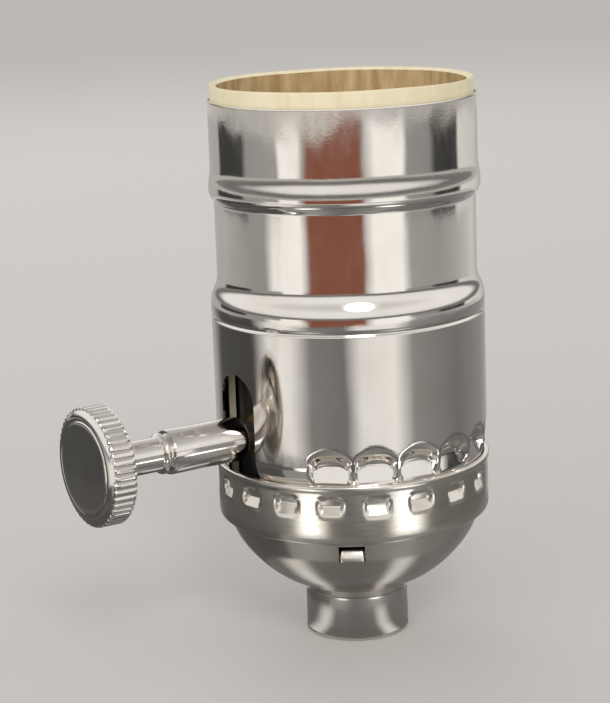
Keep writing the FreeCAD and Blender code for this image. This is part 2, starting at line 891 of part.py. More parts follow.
def make_contact_base():
    """Moulded disc that closes the housing and carries the screw shell."""
    disc = cylinder("base_disc", HOUSING_RADIUS, size("base_height"), z=HOUSING_TOP)
    boss = cylinder("base_boss", size("base_boss_radius"), size("base_boss_height"), z=BASE_TOP)
    blank = fuse("base_blank", disc, boss)
    half_strap = size("terminal_width") / 2 + size("running_gap")
    tools = body_screw_holes("base", HOUSING_TOP - OVERCUT, size("base_height") + 2 * OVERCUT)
    tools += [
        cylinder("base_rivet_hole", size("rivet_radius"), BOSS_TOP - HOUSING_TOP + 2 * OVERCUT,
                 z=HOUSING_TOP - OVERCUT),
        side_box("base_strap_slot", -1, half_strap, size("terminal_face"),
                 TERMINAL_BACK + size("running_gap"), HOUSING_TOP - OVERCUT, BASE_TOP + OVERCUT),
        cylinder("strap_rivet_well", size("strap_rivet_head_radius"),
                 size("rivet_head_height") + OVERCUT, 0, -size("strap_rivet_offset"),
                 BASE_TOP - size("rivet_head_height")),
    ]
    return cut("contact_base", blank, *tools)


def make_shell_insulator():
    """Fibre disc under the screw shell, open around the boss and the neutral strap."""
    disc = cylinder("fibre_blank", INSULATOR_RADIUS, size("insulator_wall"), z=BASE_TOP)
    half_strap = size("terminal_width") / 2 + size("running_gap")
    tools = body_screw_holes("fibre", BASE_TOP - OVERCUT, size("insulator_wall") + 2 * OVERCUT)
    tools += [
        cylinder("fibre_eye", size("base_boss_radius") + size("insulator_gap"),
                 size("insulator_wall") + 2 * OVERCUT, z=BASE_TOP - OVERCUT),
        side_box("fibre_strap_notch", -1, half_strap, 0, INSULATOR_RADIUS + OVERCUT,
                 BASE_TOP - OVERCUT, SCREW_BASE + OVERCUT),
    ]
    return cut("shell_insulator", disc, *tools)


# ---------------------------------------------------------------- screw shell and contacts


def screw_line(inset):
    """One face of the rolled shell from the top of its foot wall to its mouth."""
    groove = size("screw_root_radius") + inset
    crest = groove - size("screw_thread_depth")
    land = size("screw_land")
    slope = size("screw_pitch") / 2 - land
    level = SCREW_BASE + size("screw_foot")
    steps = [(groove, level)]
    for turn in range(SIZES["screw_turns"]):
        if turn:
            level = level + land
            steps.append((groove, level))
        steps += [
            (crest, level + slope),
            (crest, level + slope + land),
            (groove, level + 2 * slope + land),
        ]
        level = level + 2 * slope + land
    return steps + [(groove, level + size("screw_mouth"))]


def make_screw_shell():
    wall = size("screw_wall")
    foot = size("screw_root_radius")
    eye = size("screw_eye_radius")
    body = new_body("screw_shell_blank")
    turn_profile(body, "rolled_shell", [
        (foot, SCREW_BASE + wall),
        (eye, SCREW_BASE + wall),
        (eye, SCREW_BASE),
        (foot + wall, SCREW_BASE),
    ] + screw_line(wall) + way_back(screw_line(0)))
    tools = body_screw_holes("screw_shell", SCREW_BASE - OVERCUT, wall + 2 * OVERCUT)
    tools.append(cylinder("screw_shell_rivet_hole", size("strap_rivet_radius"),
                          wall + 2 * OVERCUT, 0, -size("strap_rivet_offset"),
                          SCREW_BASE - OVERCUT))
    return cut("screw_shell", body, *tools)


def make_centre_contact():
    """Spring tongue: a riveted foot, folded back and up over the rivet."""
    wall = size("tongue_wall")
    heel = size("tongue_heel")
    toe = size("tongue_toe")
    rise = size("tongue_rise")
    body = new_body("centre_contact_blank")
    sketch = new_sketch(body, "tongue_outline", "XZ_Plane")
    draw(sketch, [
        (-toe, BOSS_TOP),
        (heel, BOSS_TOP),
        (heel + wall, BOSS_TOP + wall, wall, "left"),
        (-toe, BOSS_TOP + rise + wall),
        (-size("tongue_tip"), BOSS_TOP + rise),
        (-size("tongue_tip"), BOSS_TOP + rise - wall),
        (-toe, BOSS_TOP + rise),
        (heel - wall, BOSS_TOP + wall),
        (-toe, BOSS_TOP + wall),
    ])
    pad(body, sketch, "tongue_strip", size("tongue_width"), centred=True)
    hole = cylinder("tongue_rivet_hole", size("rivet_radius"), wall + OVERCUT,
                    z=BOSS_TOP - OVERCUT / 2)
    return cut("centre_contact", body, hole)


def blade_outline(sign, foot_end, blade_top):
    """Section of a spring blade across the chamber: a foot, a leg and a kicked tip."""
    wall = size("blade_wall")
    near = BLADE_FACE
    far = BLADE_FACE + wall
    tip = SHAFT_HEIGHT - size("blade_drop")
    kick_foot = tip + size("blade_kick_length")
    kick = size("blade_kick")
    corners = [
        (near, blade_top - wall),
        (near, kick_foot),
        (near + kick, tip),
        (far + kick, tip),
        (far, kick_foot),
        (far, blade_top - wall),
    ]
    if sign > 0:
        corners += [(foot_end, blade_top - wall), (foot_end, blade_top), (near, blade_top)]
    else:
        corners += [(far, blade_top), (near, blade_top)]
    return [(sign * y, z) for y, z in corners]


def make_line_contact():
    body = new_body("line_contact")
    sketch = new_sketch(body, "blade_outline", "YZ_Plane", lift=-BLADE_FAR)
    foot_end = BLADE_FACE + size("blade_foot")
    draw(sketch, blade_outline(1, foot_end, HOUSING_TOP))
    pad(body, sketch, "blade", size("blade_width"))
    return body


def make_load_contact():
    """Blade on the far side of the rotor, with a foot riveted under the base."""
    body = new_body("load_blade")
    sketch = new_sketch(body, "blade_outline", "YZ_Plane", lift=-BLADE_FAR)
    draw(sketch, blade_outline(-1, None, HOUSING_TOP))
    pad(body, sketch, "blade", size("blade_width"))
    wall = size("blade_wall")
    foot = box("load_foot",
               (-BLADE_FAR, -BLADE_FACE - wall, HOUSING_TOP - wall),
               (size("contact_foot"), size("contact_foot"), HOUSING_TOP))
    hole = cylinder("load_rivet_hole", size("rivet_radius"), wall + 2 * OVERCUT,
                    z=HOUSING_TOP - wall - OVERCUT)
    return cut("load_contact", fuse("load_strip", body, foot), hole)


def terminal_plate(name, sign, top):
    """Upright strip that carries a terminal screw."""
    half = size("terminal_width") / 2
    return side_box(name, sign, half, size("terminal_face"), TERMINAL_BACK,
                    size("terminal_height") - size("terminal_drop"), top)


def make_hot_terminal():
    tab_top = HOUSING_TOP - size("blade_wall")
    plate = terminal_plate("hot_plate", 1, tab_top)
    tab = box("hot_tab",
              (-BLADE_FAR, size("chamber_width") / 2, tab_top - size("terminal_wall")),
              (-BLADE_NEAR, TERMINAL_BACK, tab_top))
    hole = cylinder("hot_plate_hole", size("terminal_screw_radius"),
                    size("terminal_wall") + 2 * OVERCUT, 0, size("terminal_face") - OVERCUT,
                    size("terminal_height"), "Y")
    return cut("hot_terminal", fuse("hot_strip", plate, tab), hole)


def make_neutral_strap():
    """Strip from the neutral terminal up to the screw shell's flange."""
    half = size("terminal_width") / 2
    plate = terminal_plate("neutral_plate", -1, BASE_TOP + size("strap_wall"))
    lug = side_box("neutral_lug", -1, half, size("strap_reach"), TERMINAL_BACK,
                   BASE_TOP, BASE_TOP + size("strap_wall"))
    screw_hole = cylinder("neutral_plate_hole", size("terminal_screw_radius"),
                          size("terminal_wall") + 2 * OVERCUT, 0,
                          OVERCUT - size("terminal_face"),
                          size("terminal_height"), "-Y")
    rivet_hole = cylinder("neutral_rivet_hole", size("strap_rivet_radius"),
                          size("strap_wall") + 2 * OVERCUT, 0, -size("strap_rivet_offset"),
                          BASE_TOP - OVERCUT)
    return cut("neutral_strap", fuse("neutral_strip", plate, lug), screw_hole, rivet_hole)


def make_click_spring():
    """Leaf arched across the chamber floor, just under the sweep of the cam's corners."""
    wall = size("spring_wall")
    crown = SHAFT_HEIGHT - size("cam_round") - size("running_gap")
    half = size("chamber_width") / 2 - size("running_gap")
    foot = half - size("spring_foot")
    flat = size("cam_width") / 2
    body = new_body("click_spring")
    middle = CAM_START + size("cam_length") / 2
    lift = -middle - size("spring_width") / 2
    sketch = new_sketch(body, "leaf_outline", "YZ_Plane", lift=lift)
    draw(sketch, [
        (-half, CHAMBER_FLOOR),
        (-foot, CHAMBER_FLOOR),
        (-flat, crown - wall),
        (flat, crown - wall),
        (foot, CHAMBER_FLOOR),
        (half, CHAMBER_FLOOR),
        (half, CHAMBER_FLOOR + wall),
        (foot + wall / 2, CHAMBER_FLOOR + wall),
        (flat + wall / 2, crown),
        (-flat - wall / 2, crown),
        (-foot - wall / 2, CHAMBER_FLOOR + wall),
        (-half, CHAMBER_FLOOR + wall),
    ])
    pad(body, sketch, "leaf", size("spring_width"))
    return body


# ---------------------------------------------------------------- fasteners


def slotted_screw(name, shank, length, head, head_height, x, y, z, axis):
    """A slotted screw whose shank starts under its head at a point and runs back."""
    width = size("driver_slot_width")
    depth = size("driver_slot_depth")
    blank = fuse(
        name + "_blank",
        cylinder(name + "_head", head, head_height),
        cylinder(name + "_shank", shank, length, z=-length),
    )
    slot = box(name + "_slot", (-width / 2, -head - OVERCUT, head_height - depth),
               (width / 2, head + OVERCUT, head_height + OVERCUT))
    return place(cut(name, blank, slot), x, y, z, axis)


def make_terminal_screw(name, sign):
    return slotted_screw(
        name, size("terminal_screw_radius"), size("terminal_screw_length"),
        size("terminal_head_radius"), size("terminal_head_height"),
        0, sign * TERMINAL_BACK, size("terminal_height"), "Y" if sign > 0 else "-Y")


def make_body_screws():
    """The pair of screws that hold the screw shell and base on the housing."""
    pair = doc.addObject("Part::Compound", "body_screws")
    pair.Links = [
        slotted_screw(
            f"body_screw_{side}", size("body_screw_radius"), size("body_screw_length"),
            size("body_head_radius"), size("body_head_height"),
            sign * size("body_screw_offset"), 0, SCREW_BASE + size("screw_wall"), "Z")
        for sign, side in ((-1, "left"), (1, "right"))
    ]
    return pair


def rivet(name, radius, head, low, high, y=0):
    """A rivet with a head below one level and above another."""
    thick = size("rivet_head_height")
    return fuse(
        name,
        cylinder(name + "_shank", radius, high - low, 0, y, low),
        cylinder(name + "_foot", head, thick, 0, y, low - thick),
        cylinder(name + "_head", head, thick, 0, y, high),
    )


def make_contact_rivet():
    return rivet("contact_rivet", size("rivet_radius"), size("rivet_head_radius"),
                 HOUSING_TOP - size("blade_wall"), BOSS_TOP + size("tongue_wall"))


def make_strap_rivet():
    return rivet("strap_rivet", size("strap_rivet_radius"), size("strap_rivet_head_radius"),
                 BASE_TOP, SCREW_BASE + size("screw_wall"), -size("strap_rivet_offset"))


# ---------------------------------------------------------------- knob, shaft and rotor


def lay_on_shaft(piece):
    """Moves a piece from the shaft's own frame to its place along -X."""
    return place(piece, 0, 0, SHAFT_HEIGHT, "-X")


def make_knob():
    radius = size("knob_radius")
    edge = size("knob_edge")
    back = size("knob_reach")
    front = back + size("knob_rim")
    face = front + size("knob_face_rise")
    face_radius = size("knob_face_radius")
    face_edge = face - size("knob_face_crown")
    stem = size("stem_radius")
    sleeve = size("sleeve_radius")
    sleeve_start = SLEEVE_START
    sleeve_end = sleeve_start + size("sleeve_length")
    bead_start = sleeve_end + size("stem_bead_gap")
    bead_end = bead_start + size("stem_bead_width")
    bead_curve = tangent_radius(size("stem_bead_radius") - stem, size("stem_bead_width") / 2)
    groove = size("knob_groove")
    body = new_body("knob")
    turn_profile(body, "turning", [
        (size("shaft_radius"), sleeve_start),
        (sleeve - size("sleeve_edge"), sleeve_start),
        (sleeve, sleeve_start + size("sleeve_edge")),
        (sleeve, sleeve_end - edge),
        (sleeve - edge, sleeve_end),
        (stem, sleeve_end),
        (stem, bead_start),
        (stem, bead_end, bead_curve, "left"),
        (stem, back - size("knob_hub_length")),
        (size("knob_hub_radius"), back, size("knob_hub_length") + edge, "right"),
        (radius - edge, back),
        (radius, back + edge),
        (radius, front - edge),
        (radius - edge, front),
        (face_radius + groove, face_edge, size("knob_shoulder_curve"), "left"),
        (face_radius, face_edge - groove),
        (face_radius - groove, face_edge),
        (0, face, tangent_radius(size("knob_face_crown"), face_radius - groove), "left"),
        (0, SHAFT_END),
        (size("shaft_radius"), SHAFT_END),
    ])
    half = size("flute_width") / 2
    sketch = new_sketch(body, "flute_outline", "XY_Plane")
    draw(sketch, [
        (radius - size("flute_depth"), 0),
        (radius + size("flute_depth"), -2 * half),
        (radius + size("flute_depth"), 2 * half),
    ])
    flute = pocket_through(body, sketch, "flute", both_ways=True)
    repeat(body, flute, "flutes", size("flute_count"))
    return lay_on_shaft(body)


def make_switch_shaft():
    """Rod for the knob, thrust collar, square drive and inner journal."""
    half = size("drive_width") / 2
    collar_end = COLLAR_START + size("shaft_collar_length")
    journal_end = size("journal_end_gap") - size("chamber_back") - size("bearing_depth")
    return lay_on_shaft(fuse(
        "switch_shaft",
        cylinder("shaft_rod", size("shaft_radius"), SHAFT_END - COLLAR_START,
                 z=COLLAR_START),
        cylinder("shaft_collar", size("shaft_collar_radius"), collar_end - COLLAR_START,
                 z=COLLAR_START),
        box("shaft_drive", (-half, -half, DRUM_START), (half, half, COLLAR_START)),
        cylinder("shaft_journal", size("journal_radius"), DRUM_START - journal_end,
                 z=journal_end),
    ))


def make_shaft_bushing():
    length = BUSHING_END - size("chamber_front")
    tube = cylinder("bushing_blank", size("bushing_radius"), length, z=size("chamber_front"))
    bore = cylinder("bushing_bore", size("shaft_radius") + size("running_gap"),
                    length + 2 * OVERCUT, z=size("chamber_front") - OVERCUT)
    return lay_on_shaft(cut("shaft_bushing", tube, bore))


def make_rotor():
    """Moulded rotor: a drum inlaid with the contact bridge, and a square click cam."""
    half_cam = size("cam_width") / 2
    half_drive = size("drive_width") / 2
    inlay = size("drum_radius") - size("bridge_wall")
    cam = common(
        "cam",
        box("cam_block", (-half_cam, -half_cam, CAM_START), (half_cam, half_cam, COLLAR_START)),
        cylinder("cam_rounding", size("cam_round"), size("cam_length"), z=CAM_START),
    )
    blank = fuse(
        "rotor_blank",
        cylinder("drum", size("drum_radius"), size("drum_length"), z=DRUM_START),
        cylinder("cam_neck", size("cam_neck_radius"), size("cam_neck_length"), z=DRUM_END),
        cam,
    )
    ring = cut(
        "inlay_ring",
        bridge_sector("inlay_sector", size("drum_radius") + OVERCUT),
        cylinder("inlay_core", inlay, size("blade_width") + 2 * OVERCUT,
                 z=BLADE_NEAR - OVERCUT),
    )
    drive = box("drive_hole", (-half_drive, -half_drive, DRUM_START - OVERCUT),
                (half_drive, half_drive, COLLAR_START + OVERCUT))
    return lay_on_shaft(cut("rotor", blank, ring, drive))


def bridge_sector(name, radius):
    """Part of a disc as wide as the blades, spread evenly about the shaft's underside."""
    sector = cylinder(name, radius, size("blade_width"))
    bind(sector, "Angle", size("bridge_sweep"))
    sector.Placement = Placement(Vector(), Rotation(Vector(0, 0, 1), 1))
    bind(sector, "Placement.Rotation.Angle", HALF_TURN - size("bridge_sweep") / 2)
    bind(sector, "Placement.Base.z", BLADE_NEAR)
    return sector


def make_rotor_bridge():
    ring = cut(
        "rotor_bridge",
        bridge_sector("bridge_blank", size("drum_radius")),
        cylinder("bridge_core", size("drum_radius") - size("bridge_wall"),
                 size("blade_width") + 2 * OVERCUT, z=BLADE_NEAR - OVERCUT),
    )
    return lay_on_shaft(ring)


# ---------------------------------------------------------------- export

NODES = {
    "neck_bushing": make_neck_bushing(),
    "cap": make_cap(),
    "cap_liner": make_cap_liner(),
    "outer_shell": make_outer_shell(),
    "insulating_liner": make_insulating_liner(),
    "switch_housing": make_switch_housing(),
    "contact_base": make_contact_base(),
    "shell_insulator": make_shell_insulator(),
    "screw_shell": make_screw_shell(),
    "centre_contact": make_centre_contact(),
    "line_contact": make_line_contact(),
    "load_contact": make_load_contact(),
    "hot_terminal": make_hot_terminal(),
    "neutral_strap": make_neutral_strap(),
    "click_spring": make_click_spring(),
    "hot_terminal_screw": make_terminal_screw("hot_terminal_screw", 1),
    "neutral_terminal_screw": make_terminal_screw("neutral_terminal_screw", -1),
    "body_screws": make_body_screws(),
    "contact_rivet": make_contact_rivet(),
    "strap_rivet": make_strap_rivet(),
    "knob": make_knob(),
    "switch_shaft": make_switch_shaft(),
    "shaft_bushing": make_shaft_bushing(),
    "rotor": make_rotor(),
    "rotor_bridge": make_rotor_bridge(),
}


def check(nodes):
    """Stops if any feature failed or any piece is missing or unsound."""
    failed = [item.Name for item in doc.Objects if {"Invalid", "Error"} & set(item.State)]
    if failed:
        raise RuntimeError("failed features: " + ", ".join(failed))
    for name, item in nodes.items():
        if item.Shape.isNull() or not item.Shape.isValid() or not item.Shape.Solids:
            raise RuntimeError("unsound piece: " + name)


def export(nodes):
    os.makedirs("parts", exist_ok=True)
    for name, item in nodes.items():
        item.Label = name
        item.Shape.exportStep(f"parts/{name}.step")
        print(f"{name}: {len(item.Shape.Solids)} solid, {item.Shape.Volume:.2f} mm3")


doc.recompute()
check(NODES)
export(NODES)
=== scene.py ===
import math
from contextlib import contextmanager

import bmesh
import bpy
from mathutils import Matrix, Vector


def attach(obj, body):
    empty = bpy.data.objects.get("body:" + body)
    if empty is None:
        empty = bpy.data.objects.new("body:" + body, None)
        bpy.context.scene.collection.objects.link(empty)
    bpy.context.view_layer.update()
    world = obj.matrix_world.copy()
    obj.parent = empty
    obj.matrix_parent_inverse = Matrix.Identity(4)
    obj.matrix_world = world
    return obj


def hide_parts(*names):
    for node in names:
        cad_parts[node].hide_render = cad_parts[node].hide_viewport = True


# A lamp holder with a turn-knob switch. The socket axis is Z and the knob's shaft
# points along -X. Sizes are given in millimetres and turned to metres as they are used.
# A "turn" is an angle in degrees, counted anticlockwise from above, starting at -X.

MM = 0.001
DENTS = 19
PITCH = 360 / DENTS
DENT_TURN = -10.5
SHAFT_HEIGHT = 27.6
BARREL = 16.95
BAND = 17.0
WALL_SIDES = 20 * DENTS

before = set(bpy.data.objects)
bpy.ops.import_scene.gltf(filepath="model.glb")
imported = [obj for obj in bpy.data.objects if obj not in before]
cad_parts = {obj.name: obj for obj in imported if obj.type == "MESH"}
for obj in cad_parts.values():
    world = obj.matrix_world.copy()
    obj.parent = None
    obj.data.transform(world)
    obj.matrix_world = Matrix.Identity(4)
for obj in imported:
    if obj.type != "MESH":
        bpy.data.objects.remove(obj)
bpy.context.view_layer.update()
bpy.context.tool_settings.mesh_select_mode = (True, False, False)


# ---------------------------------------------------------------- camera


def set_camera():
    """Looks down on the holder a little, from the side to the right of the knob."""
    turn = Matrix.Rotation(math.radians(-34.07), 3, "Z")
    yaw, pitch, roll = -0.0214, 0.2181, -0.0361
    place = Vector((0, -0.25927, 0.09351))
    ahead = Vector((math.sin(yaw) * math.cos(pitch), math.cos(yaw) * math.cos(pitch), -math.sin(pitch)))
    right = Vector((math.cos(yaw), -math.sin(yaw), 0))
    above = right.cross(ahead)
    tilted_right = right * math.cos(roll) + above * math.sin(roll)
    tilted_above = above * math.cos(roll) - right * math.sin(roll)
    view = Matrix((turn @ tilted_right, turn @ tilted_above, turn @ -ahead)).transposed()
    camera = bpy.data.objects.new("camera", bpy.data.cameras.new("camera"))
    bpy.context.scene.collection.objects.link(camera)
    camera.matrix_world = Matrix.Translation(turn @ place) @ view.to_4x4()
    camera.data.sensor_width = 36
    camera.data.lens = 108.85
    camera.data.clip_start = 0.005
    camera.data.clip_end = 20
    bpy.context.scene.camera = camera


# ---------------------------------------------------------------- making pieces


def clear_selection():
    if bpy.context.object and bpy.context.object.mode != "OBJECT":
        bpy.ops.object.mode_set(mode="OBJECT")
    bpy.ops.object.select_all(action="DESELECT")


def pick(piece):
    clear_selection()
    bpy.context.view_layer.objects.active = piece
    piece.select_set(True)


@contextmanager
def editing(piece):
    """Edit mode on a piece, with all of it selected."""
    pick(piece)
    bpy.ops.object.mode_set(mode="EDIT")
    bpy.ops.mesh.select_all(action="SELECT")
    yield
    bpy.ops.object.mode_set(mode="OBJECT")


def apply_modifier(piece, kind, **settings):
    """Adds a modifier with its settings and applies it at once."""
    pick(piece)
    modifier = piece.modifiers.new(kind.lower(), kind)
    for setting, value in settings.items():
        setattr(modifier, setting, value)
    bpy.ops.object.modifier_apply(modifier=modifier.name)


def arc_centre(start, end, radius, side):
    """Centre of an arc between two points, left or right of the way between them."""
    middle = (start + end) / 2
    way = end - start
    rise = math.sqrt(max(radius * radius - way.length_squared / 4, 0))
    left = Vector((-way.y, way.x)).normalized()
    return middle + left * (rise if side == "left" else -rise)


def trace(start, *runs):
    """Points of a section in (radius, height). A run is (radius, height, count) for a
    straight one, or (radius, height, count, bend, side) for an arc."""
    points = [Vector(start)]
    for run in runs:
        first, last, count = points[-1], Vector(run[:2]), run[2]
        if len(run) == 3:
            points += [first.lerp(last, (step + 1) / count) for step in range(count)]
            continue
        centre = arc_centre(first, last, run[3], run[4])
        swing = (first - centre).angle_signed(last - centre)
        for step in range(count):
            turned = Matrix.Rotation(-swing * (step + 1) / count, 2)
            points.append(centre + turned @ (first - centre))
    return points


def raise_wall(name, section, sides, turn=0.0):
    """Draws a round sheet ring by ring, upward from a circle."""
    clear_selection()
    first = section[0]
    bpy.ops.mesh.primitive_circle_add(
        vertices=sides, radius=first.x * MM, location=(0, 0, first.y * MM),
        rotation=(0, 0, math.radians(turn)))
    piece = bpy.context.object
    piece.name = name
    bpy.ops.object.transform_apply(location=True, rotation=True)
    with editing(piece):
        for before, after in zip(section, section[1:]):
            bpy.ops.mesh.extrude_region_move(
                TRANSFORM_OT_translate={"value": (0, 0, (after.y - before.y) * MM)})
            grow = after.x / before.x
            bpy.ops.transform.resize(value=(grow, grow, 1), center_override=(0, 0, 0))
    return piece


def face_outward(piece):
    """Turns every face of a piece outward."""
    with editing(piece):
        bpy.ops.mesh.normals_make_consistent(inside=False)


def close_poles(piece):
    """Merges rings drawn with almost no radius into one point each."""
    with editing(piece):
        bpy.ops.mesh.remove_doubles(threshold=0.02 * MM)
    face_outward(piece)


def place_of(point):
    """Turn in degrees, height and radius in millimetres of a point on a wall."""
    turn = math.degrees(math.atan2(-point.y, -point.x))
    return turn, point.z / MM, math.hypot(point.x, point.y) / MM


def select_where(piece, holds):
    """Selects the vertices whose turn, height and radius hold, and nothing else."""
    for polygon in piece.data.polygons:
        polygon.select = False
    for edge in piece.data.edges:
        edge.select = False
    for vertex in piece.data.vertices:
        vertex.select = holds(*place_of(vertex.co))


def press(piece, depth_at):
    """Pushes a round wall in toward its axis by a depth given for turn, height and radius."""
    for vertex in piece.data.vertices:
        turn, height, radius = place_of(vertex.co)
        depth = depth_at(turn, height, radius)
        if depth:
            grow = (radius - depth) / radius
            vertex.co.x *= grow
            vertex.co.y *= grow


def cut_opening(piece, inside, onto_edge):
    """Opens a wall where a face's middle is inside and fits the rim to its outline."""
    mesh = bmesh.new()
    mesh.from_mesh(piece.data)
    gone = [face for face in mesh.faces if inside(*place_of(face.calc_center_median()))]
    touched = {vertex for face in gone for vertex in face.verts}
    bmesh.ops.delete(mesh, geom=gone, context="FACES")
    for vertex in touched:
        if vertex.is_valid and vertex.link_faces:
            onto_edge(vertex)
    mesh.to_mesh(piece.data)
    mesh.free()


def cut_slot(piece, half, top, corner):
    """Cuts an upright slot at turn 0, open at its foot and rounded at its top corners."""
    side, spring = half - corner, top - corner

    def inside(turn, height, radius):
        across = abs(radius * math.sin(math.radians(turn)))
        if abs(turn) > 60:
            return False
        if across > side and height > spring:
            return math.hypot(across - side, height - spring) < corner
        return across < half and height < top

    def onto_edge(vertex):
        turn, height, radius = place_of(vertex.co)
        across = radius * math.sin(math.radians(turn))
        over, high = abs(across) - side, height - spring
        if over > 0 and high > 0:
            reach = math.hypot(over, high)
            across = math.copysign(side + over * corner / reach, across)
            height = spring + high * corner / reach
        elif abs(abs(across) - half) < abs(height - top):
            across = math.copysign(half, across)
        else:
            height = top
        vertex.co = Vector((-math.sqrt(radius ** 2 - across ** 2), -across, height)) * MM

    cut_opening(piece, inside, onto_edge)


def give_wall(piece, thickness, offset=-1):
    """Makes a sheet solid, with its wall inside it (-1) or outside it (1)."""
    apply_modifier(piece, "SOLIDIFY", thickness=thickness * MM, offset=offset, use_even_offset=True)


def smooth(piece, angle):
    """Shades a piece smooth, but for edges sharper than an angle in degrees."""
    pick(piece)
    bpy.ops.object.shade_smooth_by_angle(angle=math.radians(angle))


def join(name, pieces):
    """Makes one piece of several."""
    clear_selection()
    for piece in pieces:
        piece.select_set(True)
    bpy.context.view_layer.objects.active = pieces[0]
    bpy.ops.object.join()
    pieces[0].name = name
    return pieces[0]


def lay_on_shaft(piece):
    """Lays a piece drawn about Z along the switch shaft, outward along -X."""
    pick(piece)
    piece.rotation_euler = (0, math.radians(-90), 0)
    piece.location = (0, 0, SHAFT_HEIGHT * MM)
    bpy.ops.object.transform_apply(location=True, rotation=True)


def held(value):
    """A value held between 0 and 1."""
    return min(max(value, 0), 1)


def ease(value):
    """Smooth step from 0 to 1."""
    value = held(value)
    return value * value * (3 - 2 * value)


def off_dent(turn):
    """Degrees from the middle of the nearest dent, and that dent's number."""
    steps = (turn - DENT_TURN) / PITCH
    number = round(steps)
    return (steps - number) * PITCH, number % DENTS


def along_wall(away, radius):
    """Length along a round wall of an angle in degrees."""
    return abs(away) / 360 * 2 * math.pi * radius


# ---------------------------------------------------------------- outer shell

# The dents with a pocket over them, a pocket's heights, its half width, floor radius and
# lean, and how far its crown and bend drop toward its sides.
POCKETS = range(3, 18)
POCKET_FOOT, POCKET_LIP, POCKET_BEND, POCKET_TOP = 21.9, 23.3, 25.5, 27.9
POCKET_HALF, POCKET_FLOOR, POCKET_LEAN = 2.62, 15.86, 0.56
CROWN_DROP, BEND_DROP, POCKET_SIDE = 1.3, 1.1, 0.18


def pocket_depth(turn, height, radius):
    """Pockets over the cap's rim: an arch sloping inward, then a face leaning back out."""
    away, number = off_dent(turn)
    if number not in POCKETS or not POCKET_FOOT <= height <= POCKET_TOP:
        return 0
    across = min(1, along_wall(away, BARREL) / POCKET_HALF)
    top = POCKET_TOP - CROWN_DROP * across ** 2
    bend = POCKET_BEND - BEND_DROP * across ** 4
    arch = ease((top - height) / (top - bend)) * ease((1 - across) / POCKET_SIDE)
    face = POCKET_FLOOR + POCKET_LEAN * held((bend - height) / (bend - POCKET_LIP))
    return max(0, radius - face) * arch


def make_shell():
    """Polished shell. Short rows beside each crease keep the long walls' shading flat."""
    skirt, groove, waist, top = 16.45, 15.85, 16.07, 16.4
    section = trace(
        (skirt, 16.4), (skirt, 19.0, 2), (15.93, 19.35, 2), (groove, 19.5, 1),
        (groove, 21.75, 3), (15.93, 21.9, 1), (skirt, 22.1, 1), (skirt, 23.45, 5),
        (BARREL, 25.35, 9, 3.86, "left"), (BARREL, 27.6, 14), (BARREL, 36.0, 26),
        (BARREL, 40.9, 4), (BARREL, 41.14, 1), (BARREL, 41.2, 1), (16.9, 41.32, 1),
        (16.75, 41.5, 1), (16.75, 41.54, 1), (16.9, 41.72, 1), (BARREL, 41.84, 1),
        (BARREL, 42.92, 2), (16.51, 44.745, 6, 4.0, "left"), (waist, 46.57, 6, 4.0, "right"),
        (waist, 55.2, 5), (waist, 55.5, 1), (16.13, 55.72, 2, 0.25, "right"),
        (16.69, 57.12, 8, 1.9, "left"), (16.545, 58.59, 5, 7.55, "left"),
        (top, 60.07, 5, 7.55, "right"), (top, 67.3, 4), (top, 67.62, 1), (top, 67.7, 1),
        (16.36, 67.84, 1), (16.24, 67.87, 1))
    shell = raise_wall("polished_shell", section, WALL_SIDES, DENT_TURN)
    press(shell, pocket_depth)
    cut_slot(shell, half=3.6, top=SHAFT_HEIGHT + 8.0, corner=3.6)
    face_outward(shell)
    give_wall(shell, 0.3)
    smooth(shell, 50)
    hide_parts("outer_shell")
    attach(shell, "socket")
    return shell


# ---------------------------------------------------------------- cap

# A dent's heights, then its half width, its depth, and the height of its ledge.
DENT_FOOT, DENT_BEND, DENT_TOP = 19.5, 20.8, 22.1
DENT_HALF, DENT_DEPTH, DENT_LEDGE, DENT_SIDE = 1.5, 0.62, 1.15, 0.5
WINDOW_TURNS = (54.2, 234.2)
WINDOW_HALF, WINDOW_FOOT, WINDOW_TOP = 1.6, 13.05, 15.35
BOWL_BEND = 15.0


def dent_depth(turn, height, radius):
    """Dents in the band: an arched ramp inward that ends at a sloping ledge."""
    if radius < BAND - 0.1 or not DENT_FOOT <= height <= DENT_TOP:
        return 0
    away, _ = off_dent(turn)
    across = along_wall(away, BAND) / DENT_HALF
    rise = max(0, (height - DENT_BEND) / (DENT_TOP - DENT_BEND))
    arch = ease((1 - math.sqrt(across ** 6 + rise ** 2)) / DENT_SIDE)
    return DENT_DEPTH * arch * held((height - DENT_FOOT) / DENT_LEDGE)


def window_across(turn, radius):
    """Millimetres and degrees from the middle line of the nearest window."""
    nearest = min(((turn - middle + 180) % 360 - 180 for middle in WINDOW_TURNS), key=abs)
    return radius * math.sin(math.radians(nearest)), nearest


def in_window(turn, height, radius):
    across, nearest = window_across(turn, radius)
    return abs(nearest) < 20 and abs(across) < WINDOW_HALF and WINDOW_FOOT < height < WINDOW_TOP


def onto_window(vertex):
    """Squares a rim vertex onto the window's outline, where it is near enough to it."""
    near_side, near_edge = 0.25, 0.12
    turn, height, radius = place_of(vertex.co)
    across, nearest = window_across(turn, radius)
    if abs(abs(across) - WINDOW_HALF) < near_side:
        across = math.copysign(WINDOW_HALF, across)
    for edge in (WINDOW_FOOT, WINDOW_TOP):
        if abs(height - edge) < near_edge:
            height = edge
    turned = math.radians(turn - nearest) + math.asin(across / radius)
    vertex.co = Vector((-math.cos(turned) * radius, -math.sin(turned) * radius, height)) * MM


